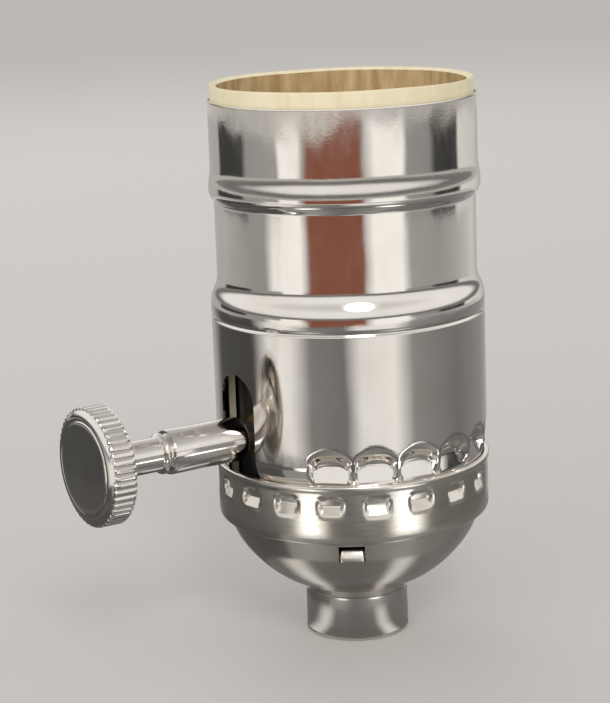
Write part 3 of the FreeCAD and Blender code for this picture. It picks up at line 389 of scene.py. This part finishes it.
def make_tongue(turn):
    """The strip lanced out of the cap at a window, leaning inward from its foot."""
    foot, tip, width, bow = (14.66, 12.95), (14.15, 14.55), 2.8, 0.12
    clear_selection()
    bpy.ops.mesh.primitive_plane_add(size=1, rotation=(0, math.radians(90), 0))
    tongue = bpy.context.object
    bpy.ops.object.transform_apply(rotation=True)
    for vertex in tongue.data.vertices:
        radius, height = tip if vertex.co.z > 0 else foot
        vertex.co = Vector((-radius, width * vertex.co.y, height)) * MM
    with editing(tongue):
        bpy.ops.mesh.subdivide(number_cuts=6)
    for vertex in tongue.data.vertices:
        rise = (vertex.co.z / MM - foot[1]) / (tip[1] - foot[1])
        vertex.co.x -= bow * math.sin(math.pi * rise) * MM
        vertex.co.x *= math.sqrt(max(0, 1 - (vertex.co.y / vertex.co.x) ** 2 * 0.5))
    tongue.rotation_euler = (0, 0, math.radians(turn))
    pick(tongue)
    bpy.ops.object.transform_apply(rotation=True)
    face_outward(tongue)
    give_wall(tongue, 0.4)
    apply_modifier(tongue, "BEVEL", width=0.06 * MM, segments=2, limit_method="ANGLE",
                   angle_limit=math.radians(40))
    smooth(tongue, 35)
    return tongue


def make_cap():
    """Satin cap: bowl, rounded step with a fine groove under it, band and rolled lip."""
    section = trace(
        (5.65, 6.6), (6.7, 6.6, 2), (7.05, 6.63, 1), (12.8, 10.59, 9, BOWL_BEND, "left"),
        (14.69, WINDOW_FOOT, 5, BOWL_BEND, "left"), (15.72, WINDOW_TOP, 10, BOWL_BEND, "left"),
        (15.8, 15.62, 1), (15.86, 15.86, 1), (15.97, 15.93, 1), (16.09, 15.86, 1),
        (16.2, 15.7, 1), (BAND, 16.7, 7, 1.0, "left"), (BAND, DENT_FOOT, 4), (BAND, 20.5, 8),
        (BAND, DENT_TOP, 12), (BAND, 22.4, 1), (17.15, 22.62, 2, 0.3, "right"),
        (17.15, 22.95, 2), (16.9, 23.2, 4, 0.25, "left"), (16.62, 23.2, 1), (16.55, 23.14, 1))
    cap = raise_wall("dimpled_cap", section, WALL_SIDES, DENT_TURN)
    press(cap, dent_depth)
    cut_opening(cap, in_window, onto_window)
    face_outward(cap)
    give_wall(cap, 0.42)
    smooth(cap, 40)
    cap = join("dimpled_cap", [cap] + [make_tongue(turn) for turn in WINDOW_TURNS])
    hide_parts("cap")
    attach(cap, "socket")
    return cap


# ---------------------------------------------------------------- neck


def helix(name, section, turns, pitch, start, sides):
    """Sweeps an upright line of (radius, rise) points round the axis as a screw."""
    clear_selection()
    bpy.ops.mesh.primitive_plane_add(size=1)
    strip = bpy.context.object
    strip.name = name
    with editing(strip):
        bpy.ops.mesh.merge(type="CENTER")
        bpy.ops.transform.translate(value=(section[0][0] * MM, 0, (start + section[0][1]) * MM))
        for before, after in zip(section, section[1:]):
            bpy.ops.mesh.extrude_region_move(TRANSFORM_OT_translate={
                "value": ((after[0] - before[0]) * MM, 0, (after[1] - before[1]) * MM)})
    apply_modifier(strip, "SCREW", axis="Z", screw_offset=pitch * MM, iterations=turns,
                   steps=sides, render_steps=sides, use_merge_vertices=True,
                   merge_threshold=0.002 * MM)
    with editing(strip):
        bpy.ops.mesh.remove_doubles(threshold=0.004 * MM)
    return strip


def trim(piece, low, high):
    """Cuts a piece off square below one height and above another."""
    with editing(piece):
        for level, above in ((low, False), (high, True)):
            bpy.ops.mesh.select_all(action="SELECT")
            bpy.ops.mesh.bisect(plane_co=(0, 0, level * MM), plane_no=(0, 0, 1), threshold=1e-7,
                                clear_inner=not above, clear_outer=above)


def draw_rim(piece, level, rings):
    """Carries the open rim at one height on through true rings of (radius, height)."""
    mesh = bmesh.new()
    mesh.from_mesh(piece.data)
    rim = [edge for edge in mesh.edges
           if edge.is_boundary and all(abs(v.co.z / MM - level) < 0.002 for v in edge.verts)]
    for ring_radius, ring_level in rings:
        drawn = bmesh.ops.extrude_edge_only(mesh, edges=rim)["geom"]
        rim = [item for item in drawn if isinstance(item, bmesh.types.BMEdge)]
        for vertex in {vertex for edge in rim for vertex in edge.verts}:
            _, _, radius = place_of(vertex.co)
            vertex.co = Vector((vertex.co.x * ring_radius / radius,
                                vertex.co.y * ring_radius / radius, ring_level * MM))
    mesh.to_mesh(piece.data)
    mesh.free()


def make_neck():
    """Turned bushing: outer body by rings, thread inside as a true helix."""
    body, collar, stake_height = 6.45, 6.7, 7.85
    crest, root, pitch = 4.6, 5.1, 25.4 / 27
    first_turn, last_turn = 0.35, 7.6
    outside = raise_wall("threaded_neck", trace(
        (5.2, 0.0), (6.13, 0.0, 3), (6.37, 0.08, 2), (body, 0.32, 2), (body, 5.3, 3),
        (6.41, 5.58, 2), (6.3, 5.65, 1), (6.2, 5.68, 1), (6.2, 6.6, 1), (5.65, 6.6, 1),
        (5.65, 7.05, 1), (body, 7.07, 1), (collar, 7.25, 1), (6.55, 7.75, 2),
        (6.2, stake_height, 1), (root, stake_height, 1)), 128)
    face_outward(outside)
    thread = helix("pipe_thread", [
        (root, 0.0), (root, 0.1), (crest, 0.41), (crest, 0.51), (root, 0.82), (root, pitch)],
        turns=11, pitch=pitch, start=-1.2, sides=64)
    trim(thread, first_turn, last_turn)
    draw_rim(thread, first_turn, [(5.2, 0.0)])
    draw_rim(thread, last_turn, [(root, stake_height)])
    neck = join("threaded_neck", [outside, thread])
    smooth(neck, 32)
    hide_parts("neck_bushing")
    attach(neck, "socket")
    return neck


# ---------------------------------------------------------------- screw shell


def make_screw_shell():
    """Rolled lamp thread: a rounded helix between a plain foot and a plain mouth."""
    crest, root, pitch = 12.35, 13.2, 3.63
    thread_foot, thread_mouth, floor = 46.2, 62.6, 41.75
    middle, swing = (root + crest) / 2, (root - crest) / 2
    flatness, steps = 1.35, 16
    section = []
    for step in range(steps + 1):
        phase = step / steps
        wave = math.tanh(flatness * math.cos(2 * math.pi * phase)) / math.tanh(flatness)
        section.append((middle + swing * wave, phase * pitch))
    thread = helix("rolled_screw_shell", section, turns=7, pitch=pitch, start=42.2, sides=96)
    trim(thread, thread_foot, thread_mouth)
    draw_rim(thread, thread_foot, [
        (root, 45.2), (root, 42.0), (root - 0.08, 41.84), (root - 0.3, floor), (5.5, floor)])
    draw_rim(thread, thread_mouth, [(root, 63.1), (root, 63.45)])
    face_outward(thread)
    give_wall(thread, 0.32, offset=1)
    smooth(thread, 40)
    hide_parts("screw_shell")
    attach(thread, "socket")
    return thread


# ---------------------------------------------------------------- paper liner


def make_liner():
    """Paper tube: straight, flared once, with a cut top edge that isn't quite level."""
    bore, mouth, flare = 15.35, 16.05, 2.6
    dip, ripple = 0.05, 0.03
    section = trace(
        (bore, 17.9), (bore, 30.0, 16), (bore, 39.0, 20), (bore, 55.97, 6),
        (15.7, 57.22, 4, flare, "right"), (mouth, 58.47, 4, flare, "left"), (mouth, 69.3, 8),
        (mouth, 69.78, 2), (16.0, 69.86, 1))
    liner = raise_wall("paper_liner", section, 192)
    cut_slot(liner, half=6.2, top=SHAFT_HEIGHT + 10.9, corner=5.0)
    face_outward(liner)
    give_wall(liner, 0.8)
    for vertex in liner.data.vertices:
        turn, height, _ = place_of(vertex.co)
        if height > 69.0:
            wave = math.sin(math.radians(turn * 3 + 20)) + 0.6 * math.sin(math.radians(turn * 7 + 75))
            vertex.co.z -= (dip + ripple * wave) * MM
    smooth(liner, 40)
    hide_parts("insulating_liner")
    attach(liner, "socket")
    return liner


# ---------------------------------------------------------------- knob

FLUTES = 48
FLUTE_DEPTH, FLUTE_HEIGHT = 0.12, 0.19
SLEEVE_MOUTH, BORE, BORE_DEPTH = 16.5, 1.78, 5.9
GRIP, GRIP_BACK, GRIP_FRONT = 7.06, 34.5, 37.45


def flute_depth(turn, height, radius):
    """Narrow grooves round the grip, with the ridges between them raised a little."""
    if radius < GRIP - 0.16 or not GRIP_BACK < height < GRIP_FRONT:
        return 0
    ridge = 0.5 + 0.5 * math.cos(math.radians(turn * FLUTES))
    return FLUTE_DEPTH - FLUTE_HEIGHT * (1 - (1 - ridge) ** 5)


def seal_sleeve(knob):
    """Draws the sleeve's bore inward to where the shaft's end fills it."""

    def on_bore(turn, height, radius):
        return abs(height - SLEEVE_MOUTH) < 0.01 and radius < BORE + 0.1

    pick(knob)
    select_where(knob, on_bore)
    bpy.ops.object.mode_set(mode="EDIT")
    bpy.ops.mesh.extrude_region_move(TRANSFORM_OT_translate={"value": (0, 0, BORE_DEPTH * MM)})
    bpy.ops.mesh.edge_face_add()
    bpy.ops.object.mode_set(mode="OBJECT")
    face_outward(knob)


def make_knob():
    """Turned knob, drawn about Z from the sleeve's mouth outward, then fluted."""
    sleeve, stem, bead, hub = 2.71, 2.08, 0.62, 0.004
    section = trace(
        (BORE, SLEEVE_MOUTH), (2.25, SLEEVE_MOUTH, 1), (2.62, 16.85, 3, 0.5, "left"),
        (sleeve, 17.3, 2), (sleeve, 26.65, 3), (2.64, 26.84, 2), (2.45, 26.9, 1),
        (2.1, 26.92, 1), (stem, 27.0, 1), (stem, 27.15, 1), (2.16, 27.22, 1),
        (2.5, 27.67, 4, bead, "left"), (2.16, 28.12, 4, bead, "left"), (stem, 28.22, 1),
        (stem, 33.0, 3), (2.35, 33.55, 3, 1.1, "right"), (3.2, 34.45, 5, 1.4, "right"),
        (3.3, GRIP_BACK, 1), (6.75, GRIP_BACK, 3), (6.95, 34.56, 2), (GRIP, 34.72, 1),
        (GRIP, 37.18, 6), (6.95, 37.36, 1), (6.78, 37.42, 1), (5.78, 37.83, 7, 1.75, "left"),
        (5.66, 37.76, 1), (5.58, 37.74, 1), (5.52, 37.8, 1), (5.4, 37.85, 1),
        (hub, 38.0, 8, 85.0, "left"))
    knob = raise_wall("fluted_knob", section, 10 * FLUTES)
    press(knob, flute_depth)
    close_poles(knob)
    seal_sleeve(knob)
    lay_on_shaft(knob)
    smooth(knob, 38)
    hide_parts("knob")
    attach(knob, "knob_assembly")
    return knob


# ---------------------------------------------------------------- materials


def new_material(name):
    material = bpy.data.materials.new(name)
    material.use_nodes = True
    return material, material.node_tree


def link(tree, out_node, out_socket, in_node, in_socket):
    tree.links.new(out_node.outputs[out_socket], in_node.inputs[in_socket])


def object_noise(tree, scale, detail, stretch=(1, 1, 1)):
    """Noise on the piece's own coordinates, in features per metre."""
    coordinates = tree.nodes.new("ShaderNodeTexCoord")
    mapping = tree.nodes.new("ShaderNodeMapping")
    mapping.inputs["Scale"].default_value = stretch
    noise = tree.nodes.new("ShaderNodeTexNoise")
    noise.inputs["Scale"].default_value = scale
    noise.inputs["Detail"].default_value = detail
    link(tree, coordinates, "Object", mapping, "Vector")
    link(tree, mapping, "Vector", noise, "Vector")
    return noise


def spread(tree, source, socket, low, high, at=(0.3, 0.7)):
    """Maps a texture's value onto a range."""
    ramp = tree.nodes.new("ShaderNodeMapRange")
    ramp.inputs["From Min"].default_value = at[0]
    ramp.inputs["From Max"].default_value = at[1]
    ramp.inputs["To Min"].default_value = low
    ramp.inputs["To Max"].default_value = high
    link(tree, source, socket, ramp, "Value")
    return ramp


def fill_ramp(tree, source, socket, stops):
    """Colours a value by stops, each of them a position and a colour."""
    ramp = tree.nodes.new("ShaderNodeValToRGB")
    elements = ramp.color_ramp.elements
    while len(elements) < len(stops):
        elements.new(0.5)
    for element, (position, colour) in zip(elements, stops):
        element.position = position
        element.color = (*colour, 1)
    link(tree, source, socket, ramp, "Fac")
    return ramp


def tint(tree, texture, first, second, at=(0.3, 0.7)):
    """Blends two colours by a texture's value."""
    return fill_ramp(tree, texture, "Fac", ((at[0], first), (at[1], second)))


def add_bump(tree, shader, texture, distance, after=None):
    """Raises a texture's relief by a distance in metres, on top of another bump if given."""
    bump = tree.nodes.new("ShaderNodeBump")
    bump.inputs["Distance"].default_value = distance
    bump.inputs["Strength"].default_value = 1
    link(tree, texture, "Fac", bump, "Height")
    if after:
        link(tree, after, "Normal", bump, "Normal")
    link(tree, bump, "Normal", shader, "Normal")
    return bump


def textured(name, colours, tone, rough, marks):
    """A material whose colour follows the noise called tone and whose roughness follows
    the noise called marks. Each noise is (scale, detail) or (scale, detail, stretch)."""
    material, tree = new_material(name)
    shader = tree.nodes["Principled BSDF"]
    link(tree, tint(tree, object_noise(tree, *tone), *colours), "Color", shader, "Base Color")
    texture = object_noise(tree, *marks)
    link(tree, spread(tree, texture, "Fac", *rough), "Result", shader, "Roughness")
    return material, tree, shader, texture


def metal(name, colours, tone, rough, marks, relief):
    """Metal with marks of a small relief, in metres."""
    material, tree, shader, texture = textured(name, colours, tone, rough, marks)
    shader.inputs["Metallic"].default_value = 1
    add_bump(tree, shader, texture, relief)
    return material


def polished_nickel(name, rough, wave):
    """Mirror plate over drawn metal: faint waves, haze and fine rubbed marks."""
    material, tree, shader, _ = textured(
        name, ((0.74, 0.70, 0.65), (0.80, 0.77, 0.73)), (160, 4), rough, (900, 5, (1, 1, 0.35)))
    shader.inputs["Metallic"].default_value = 1
    broad = add_bump(tree, shader, object_noise(tree, 95, 1.5, (1, 1, 0.7)), wave)
    add_bump(tree, shader, object_noise(tree, 2600, 2), 0.0000015, broad)
    return material


def satin_nickel():
    """Bright rolled plate: a softer shine with fine marks round the cap."""
    return metal("satin_nickel_plate", ((0.70, 0.66, 0.59), (0.77, 0.73, 0.67)), (220, 4),
                 (0.19, 0.25), (500, 5, (1, 1, 7)), 0.000003)


def turned_nickel():
    """Plate over a turned surface, with fine rings round the axis."""
    return metal("turned_nickel_plate", ((0.66, 0.63, 0.58), (0.76, 0.73, 0.68)), (260, 4),
                 (0.18, 0.26), (60, 6, (1, 1, 70)), 0.000004)


def small_metal(name, low, high, rough):
    """Rolled or turned small metal parts with slight tarnish."""
    return metal(name, (low, high), (420, 5), rough, (700, 4), 0.000004)


def moulded(name, low, high, rough):
    """Moulded phenolic: fine flow mottling under a soft shine."""
    flow = (380, 6)
    material, tree, shader, _ = textured(name, (low, high), flow, rough, flow)
    shader.inputs["IOR"].default_value = 1.55
    add_bump(tree, shader, object_noise(tree, 2400, 3), 0.00001)
    return material


def fibre_sheet(name, low, high):
    """Dull pressed fibre."""
    fibres = (900, 6)
    material, tree, shader, texture = textured(name, (low, high), fibres, (0.5, 0.72), fibres)
    add_bump(tree, shader, texture, 0.00003)
    return material


def paper_board():
    """Pressed board: cream on the faces that look outward, on the top edge and on the cut edge, darker tan on
    the faces that look inward.
    """
    material, tree = new_material("liner_board")
    shader = tree.nodes["Principled BSDF"]
    shader.inputs["IOR"].default_value = 1.45
    shader.inputs["Specular IOR Level"].default_value = 0.3
    coordinates = tree.nodes.new("ShaderNodeTexCoord")
    flat = tree.nodes.new("ShaderNodeVectorMath")
    flat.operation = "MULTIPLY"
    flat.inputs[1].default_value = (1, 1, 0)
    link(tree, coordinates, "Object", flat, 0)
    facing = tree.nodes.new("ShaderNodeVectorMath")
    facing.operation = "DOT_PRODUCT"
    link(tree, flat, "Vector", facing, 0)
    link(tree, coordinates, "Normal", facing, 1)
    where = spread(tree, facing, "Value", 0, 1, (-0.0145, -0.0125))
    fibres = object_noise(tree, 700, 6, (1, 1, 0.25))
    inside = tint(tree, fibres, (0.42, 0.28, 0.13), (0.66, 0.48, 0.26), (0.35, 0.68))
    outside = tint(tree, fibres, (0.80, 0.70, 0.47), (0.88, 0.80, 0.59))
    blend = tree.nodes.new("ShaderNodeMix")
    blend.data_type = "RGBA"
    first, second, mixed = blend.inputs[6], blend.inputs[7], blend.outputs[2]
    link(tree, where, "Result", blend, 0)
    tree.links.new(inside.outputs["Color"], first)
    tree.links.new(outside.outputs["Color"], second)
    tree.links.new(mixed, shader.inputs["Base Color"])
    link(tree, spread(tree, fibres, "Fac", 0.55, 0.8), "Result", shader, "Roughness")
    add_bump(tree, shader, fibres, 0.00006)
    return material


def coat(piece, material):
    piece.data.materials.clear()
    piece.data.materials.append(material)


# ---------------------------------------------------------------- room and light

ROOM_TINT = (1, 0.985, 0.965)
CARD_TINT = (1, 0.985, 0.96)
# Brown of a painted reflection: the strip of the far cards that the shell mirrors.
BROWN = (0.23, 0.085, 0.055)
AIM = Vector((0, 0, 0.04))


def shaded(shade, hue):
    """A grey level in a hue. A colour stays as it is."""
    return shade if isinstance(shade, tuple) else tuple(shade * part for part in hue)


def pale_floor():
    clear_selection()
    bpy.ops.mesh.primitive_plane_add(size=6, location=(0, 0, 0))
    floor = bpy.context.object
    floor.name = "floor"
    material, tree = new_material("pale_floor")
    shader = tree.nodes["Principled BSDF"]
    shader.inputs["Base Color"].default_value = (0.62, 0.61, 0.59, 1)
    shader.inputs["Roughness"].default_value = 0.9
    shader.inputs["Specular IOR Level"].default_value = 0.1
    coat(floor, material)


def room_light():
    """An even pale room: dim at eye level, brightest partway up, softer overhead.
    A stop at 0 is straight down, at 0.5 level and at 1 straight up."""
    sky = ((0.0, 0.40), (0.50, 0.36), (0.535, 0.26), (0.575, 1.45), (0.70, 1.5), (0.82, 1.0), (1.0, 0.6))
    world = bpy.data.worlds.new("room")
    bpy.context.scene.world = world
    world.use_nodes = True
    tree = world.node_tree
    back = tree.nodes["Background"]
    coordinates = tree.nodes.new("ShaderNodeTexCoord")
    split = tree.nodes.new("ShaderNodeSeparateXYZ")
    link(tree, coordinates, "Generated", split, "Vector")
    level = spread(tree, split, "Z", 0, 1, (-1, 1))
    stops = [(height, shaded(shade, ROOM_TINT)) for height, shade in sky]
    link(tree, fill_ramp(tree, level, "Result", stops), "Color", back, "Color")
    back.inputs["Strength"].default_value = 0.66


def glow_round(card, name, shades, strength):
    """Lights a card by its turn round the axis, so that only the metal's shine shows it.
    The card is no lamp: its bright turns paint highlights and its dark turns paint shade
    into the reflections. Each of its shades is a turn and a grey level or a colour."""
    card.name = name
    bpy.ops.object.transform_apply(location=True)
    material, tree = new_material(name)
    coordinates = tree.nodes.new("ShaderNodeTexCoord")
    around = tree.nodes.new("ShaderNodeTexGradient")
    around.gradient_type = "RADIAL"
    link(tree, coordinates, "Object", around, "Vector")
    stops = [(turn / 360, shaded(shade, CARD_TINT)) for turn, shade in shades]
    glow = tree.nodes.new("ShaderNodeEmission")
    glow.inputs["Strength"].default_value = strength
    link(tree, fill_ramp(tree, around, "Fac", stops), "Color", glow, "Color")
    link(tree, glow, "Emission", tree.nodes["Material Output"], "Surface")
    coat(card, material)
    card.visible_camera = False
    card.visible_diffuse = False
    card.visible_shadow = False
    card.visible_transmission = False


def card_ring(name, distance, foot, top, shades, strength=1.0):
    """A low ring of glowing cards round the holder: painted reflections, with painted highlights and painted
    shade, seen only in the shine.
    """
    clear_selection()
    bpy.ops.mesh.primitive_cylinder_add(
        vertices=180, radius=distance * MM, depth=(top - foot) * MM, end_fill_type="NOTHING",
        location=(0, 0, (foot + top) * MM / 2))
    glow_round(bpy.context.object, name, shades, strength)


def floor_card(name, reach, level, shades):
    """A round glowing card under the holder: a painted reflection, seen only in the shine."""
    clear_selection()
    bpy.ops.mesh.primitive_circle_add(
        vertices=180, radius=reach * MM, fill_type="NGON", location=(0, 0, level * MM))
    glow_round(bpy.context.object, name, shades, 1.0)


def hang_lamp(name, light, place, aim, colour):
    light.color = colour
    lamp = bpy.data.objects.new(name, light)
    bpy.context.scene.collection.objects.link(lamp)
    lamp.location = place
    lamp.rotation_euler = (aim - Vector(place)).to_track_quat("-Z", "Y").to_euler()
    return lamp


def soft_box(name, place, size, energy, colour=(1, 1, 1)):
    """A broad lamp that the metal doesn't mirror."""
    light = bpy.data.lights.new(name, "AREA")
    light.shape = "RECTANGLE"
    light.size, light.size_y = size
    light.energy = energy
    hang_lamp(name, light, place, AIM, colour).visible_glossy = False


def soft_sun(name, place, strength, spread_angle, colour):
    """A sun with soft edges, shining from a place toward the foot of the socket axis."""
    light = bpy.data.lights.new(name, "SUN")
    light.energy = strength
    light.angle = math.radians(spread_angle)
    hang_lamp(name, light, place, Vector((0, 0, 0)), colour)


def set_stage():
    """Pale floor and room, three soft lamps, and the cards that the shine shows: glowing cards that paint
    highlights and shade into the metal's reflections.
    """
    pale_floor()
    room_light()
    soft_sun("key", (-0.36, -0.86, 0.74), 0.68, 20, (1, 0.98, 0.95))
    soft_box("fill", (-0.6, -0.35, 0.3), (0.7, 0.36), 1.3, (0.98, 0.99, 1))
    soft_box("rim", (0.2, 0.55, 0.5), (0.5, 0.3), 0.8)
    # Far off, all round: white cards, a brown one between two of them, and dark gaps, which paint bright
    # bands, a brown strip and dark bands into the shell's reflection.
    card_ring("far_cards_low", 234, 0, 21, (
        (0, 0.95), (18, 1.0), (23, 0.55), (26, BROWN), (69, BROWN), (72, 0.55), (78, 1.0),
        (104, 1.0), (112, 0.36), (140, 0.32), (163, 0.42), (196, 0.6), (215, 0.4), (270, 0.4),
        (289, 0.42), (323, 0.32), (343, 0.3), (352, 0.9)), 1.15)
    card_ring("far_cards_high", 234, 21, 42, (
        (0, 0.4), (3, 1.0), (18, 1.0), (22, 0.4), (26, BROWN), (69, BROWN), (72, 0.5), (80, 1.0),
        (104, 1.0), (108, 0.3), (131, 0.26), (136, 0.045), (163, 0.045), (167, 0.7), (196, 0.6),
        (215, 0.4), (270, 0.4), (285, 0.4), (289, 0.045), (323, 0.045), (328, 0.3),
        (354, 0.34)), 1.15)
    # Closer in and low, for the foot of the shell, the pockets and the cap: painted highlights and painted
    # shade in their reflections.
    card_ring("near_cards", 110, 0, 25, (
        (0, 1.0), (10, 0.95), (26, 0.25), (52, 0.2), (64, 0.9), (90, 1.0), (106, 0.3), (150, 0.2),
        (190, 0.3), (220, 0.45), (270, 0.4), (287, 0.09), (333, 0.07), (350, 0.9)))
    # Two narrow bright cards down low, for the bowl's highlights: painted highlights on a dark ring that
    # paints shade between them.
    card_ring("low_cards", 64, 0, 9, (
        (0, 0.04), (10, 0.05), (19, 1.0), (27, 1.0), (38, 0.05), (60, 0.04), (80, 0.05), (90, 1.0),
        (99, 1.0), (112, 0.05), (190, 0.05), (215, 0.3), (235, 0.3), (260, 0.05),
        (340, 0.04)), 2.8)
    # Under the holder, for the faces that look down: dark discs that paint the shade under the holder into
    # their reflections, the small one round the neck with painted highlights.
    floor_card("under_card", 109, 0.3, (
        (0, 0.3), (20, 0.34), (45, 0.2), (60, 0.18), (95, 0.34), (115, 0.22), (150, 0.17),
        (190, 0.24), (225, 0.34), (270, 0.3), (287, 0.1), (333, 0.09)))
    floor_card("neck_card", 18, 0.5, (
        (0, 0.75), (4, 0.75), (16, 0.17), (50, 0.15), (84, 0.17), (94, 0.75), (103, 0.75),
        (115, 0.17), (180, 0.2), (215, 0.5), (235, 0.5), (255, 0.2), (335, 0.15), (354, 0.75)))


# ---------------------------------------------------------------- building it

set_camera()
set_stage()

coat(make_shell(), polished_nickel("polished_nickel_plate", (0.05, 0.11), 0.0002))
coat(make_cap(), satin_nickel())
coat(make_neck(), turned_nickel())
coat(make_screw_shell(), small_metal("rolled_aluminium", (0.72, 0.72, 0.72), (0.86, 0.86, 0.87), (0.16, 0.3)))
coat(make_liner(), paper_board())
coat(make_knob(), polished_nickel("knob_plate", (0.07, 0.15), 0.00003))

brass = small_metal("rolled_brass", (0.55, 0.36, 0.12), (0.78, 0.58, 0.26), (0.22, 0.36))
bronze = small_metal("spring_bronze", (0.48, 0.27, 0.13), (0.70, 0.44, 0.24), (0.24, 0.38))
zinc = small_metal("zinc_plate", (0.55, 0.56, 0.58), (0.70, 0.71, 0.72), (0.24, 0.4))
black_moulding = moulded("black_phenolic", (0.012, 0.012, 0.013), (0.026, 0.025, 0.025), (0.34, 0.5))
brown_moulding = moulded("brown_phenolic", (0.06, 0.022, 0.012), (0.11, 0.045, 0.025), (0.32, 0.48))
fish_paper = fibre_sheet("brown_fish_paper", (0.16, 0.10, 0.06), (0.30, 0.21, 0.13))
red_fibre = fibre_sheet("red_fibre", (0.25, 0.05, 0.03), (0.40, 0.11, 0.07))
CAD_FINISHES = {
    "cap_liner": fish_paper,
    "shell_insulator": red_fibre,
    "switch_housing": black_moulding,
    "contact_base": black_moulding,
    "rotor": brown_moulding,
    "centre_contact": bronze,
    "line_contact": bronze,
    "load_contact": bronze,
    "hot_terminal": brass,
    "hot_terminal_screw": brass,
    "contact_rivet": brass,
    "strap_rivet": brass,
    "shaft_bushing": brass,
    "rotor_bridge": brass,
    "neutral_strap": zinc,
    "neutral_terminal_screw": zinc,
    "body_screws": zinc,
    "click_spring": zinc,
    "switch_shaft": zinc,
}
for node, finish in CAD_FINISHES.items():
    coat(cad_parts[node], finish)

bpy.context.scene.view_settings.view_transform = "Standard"
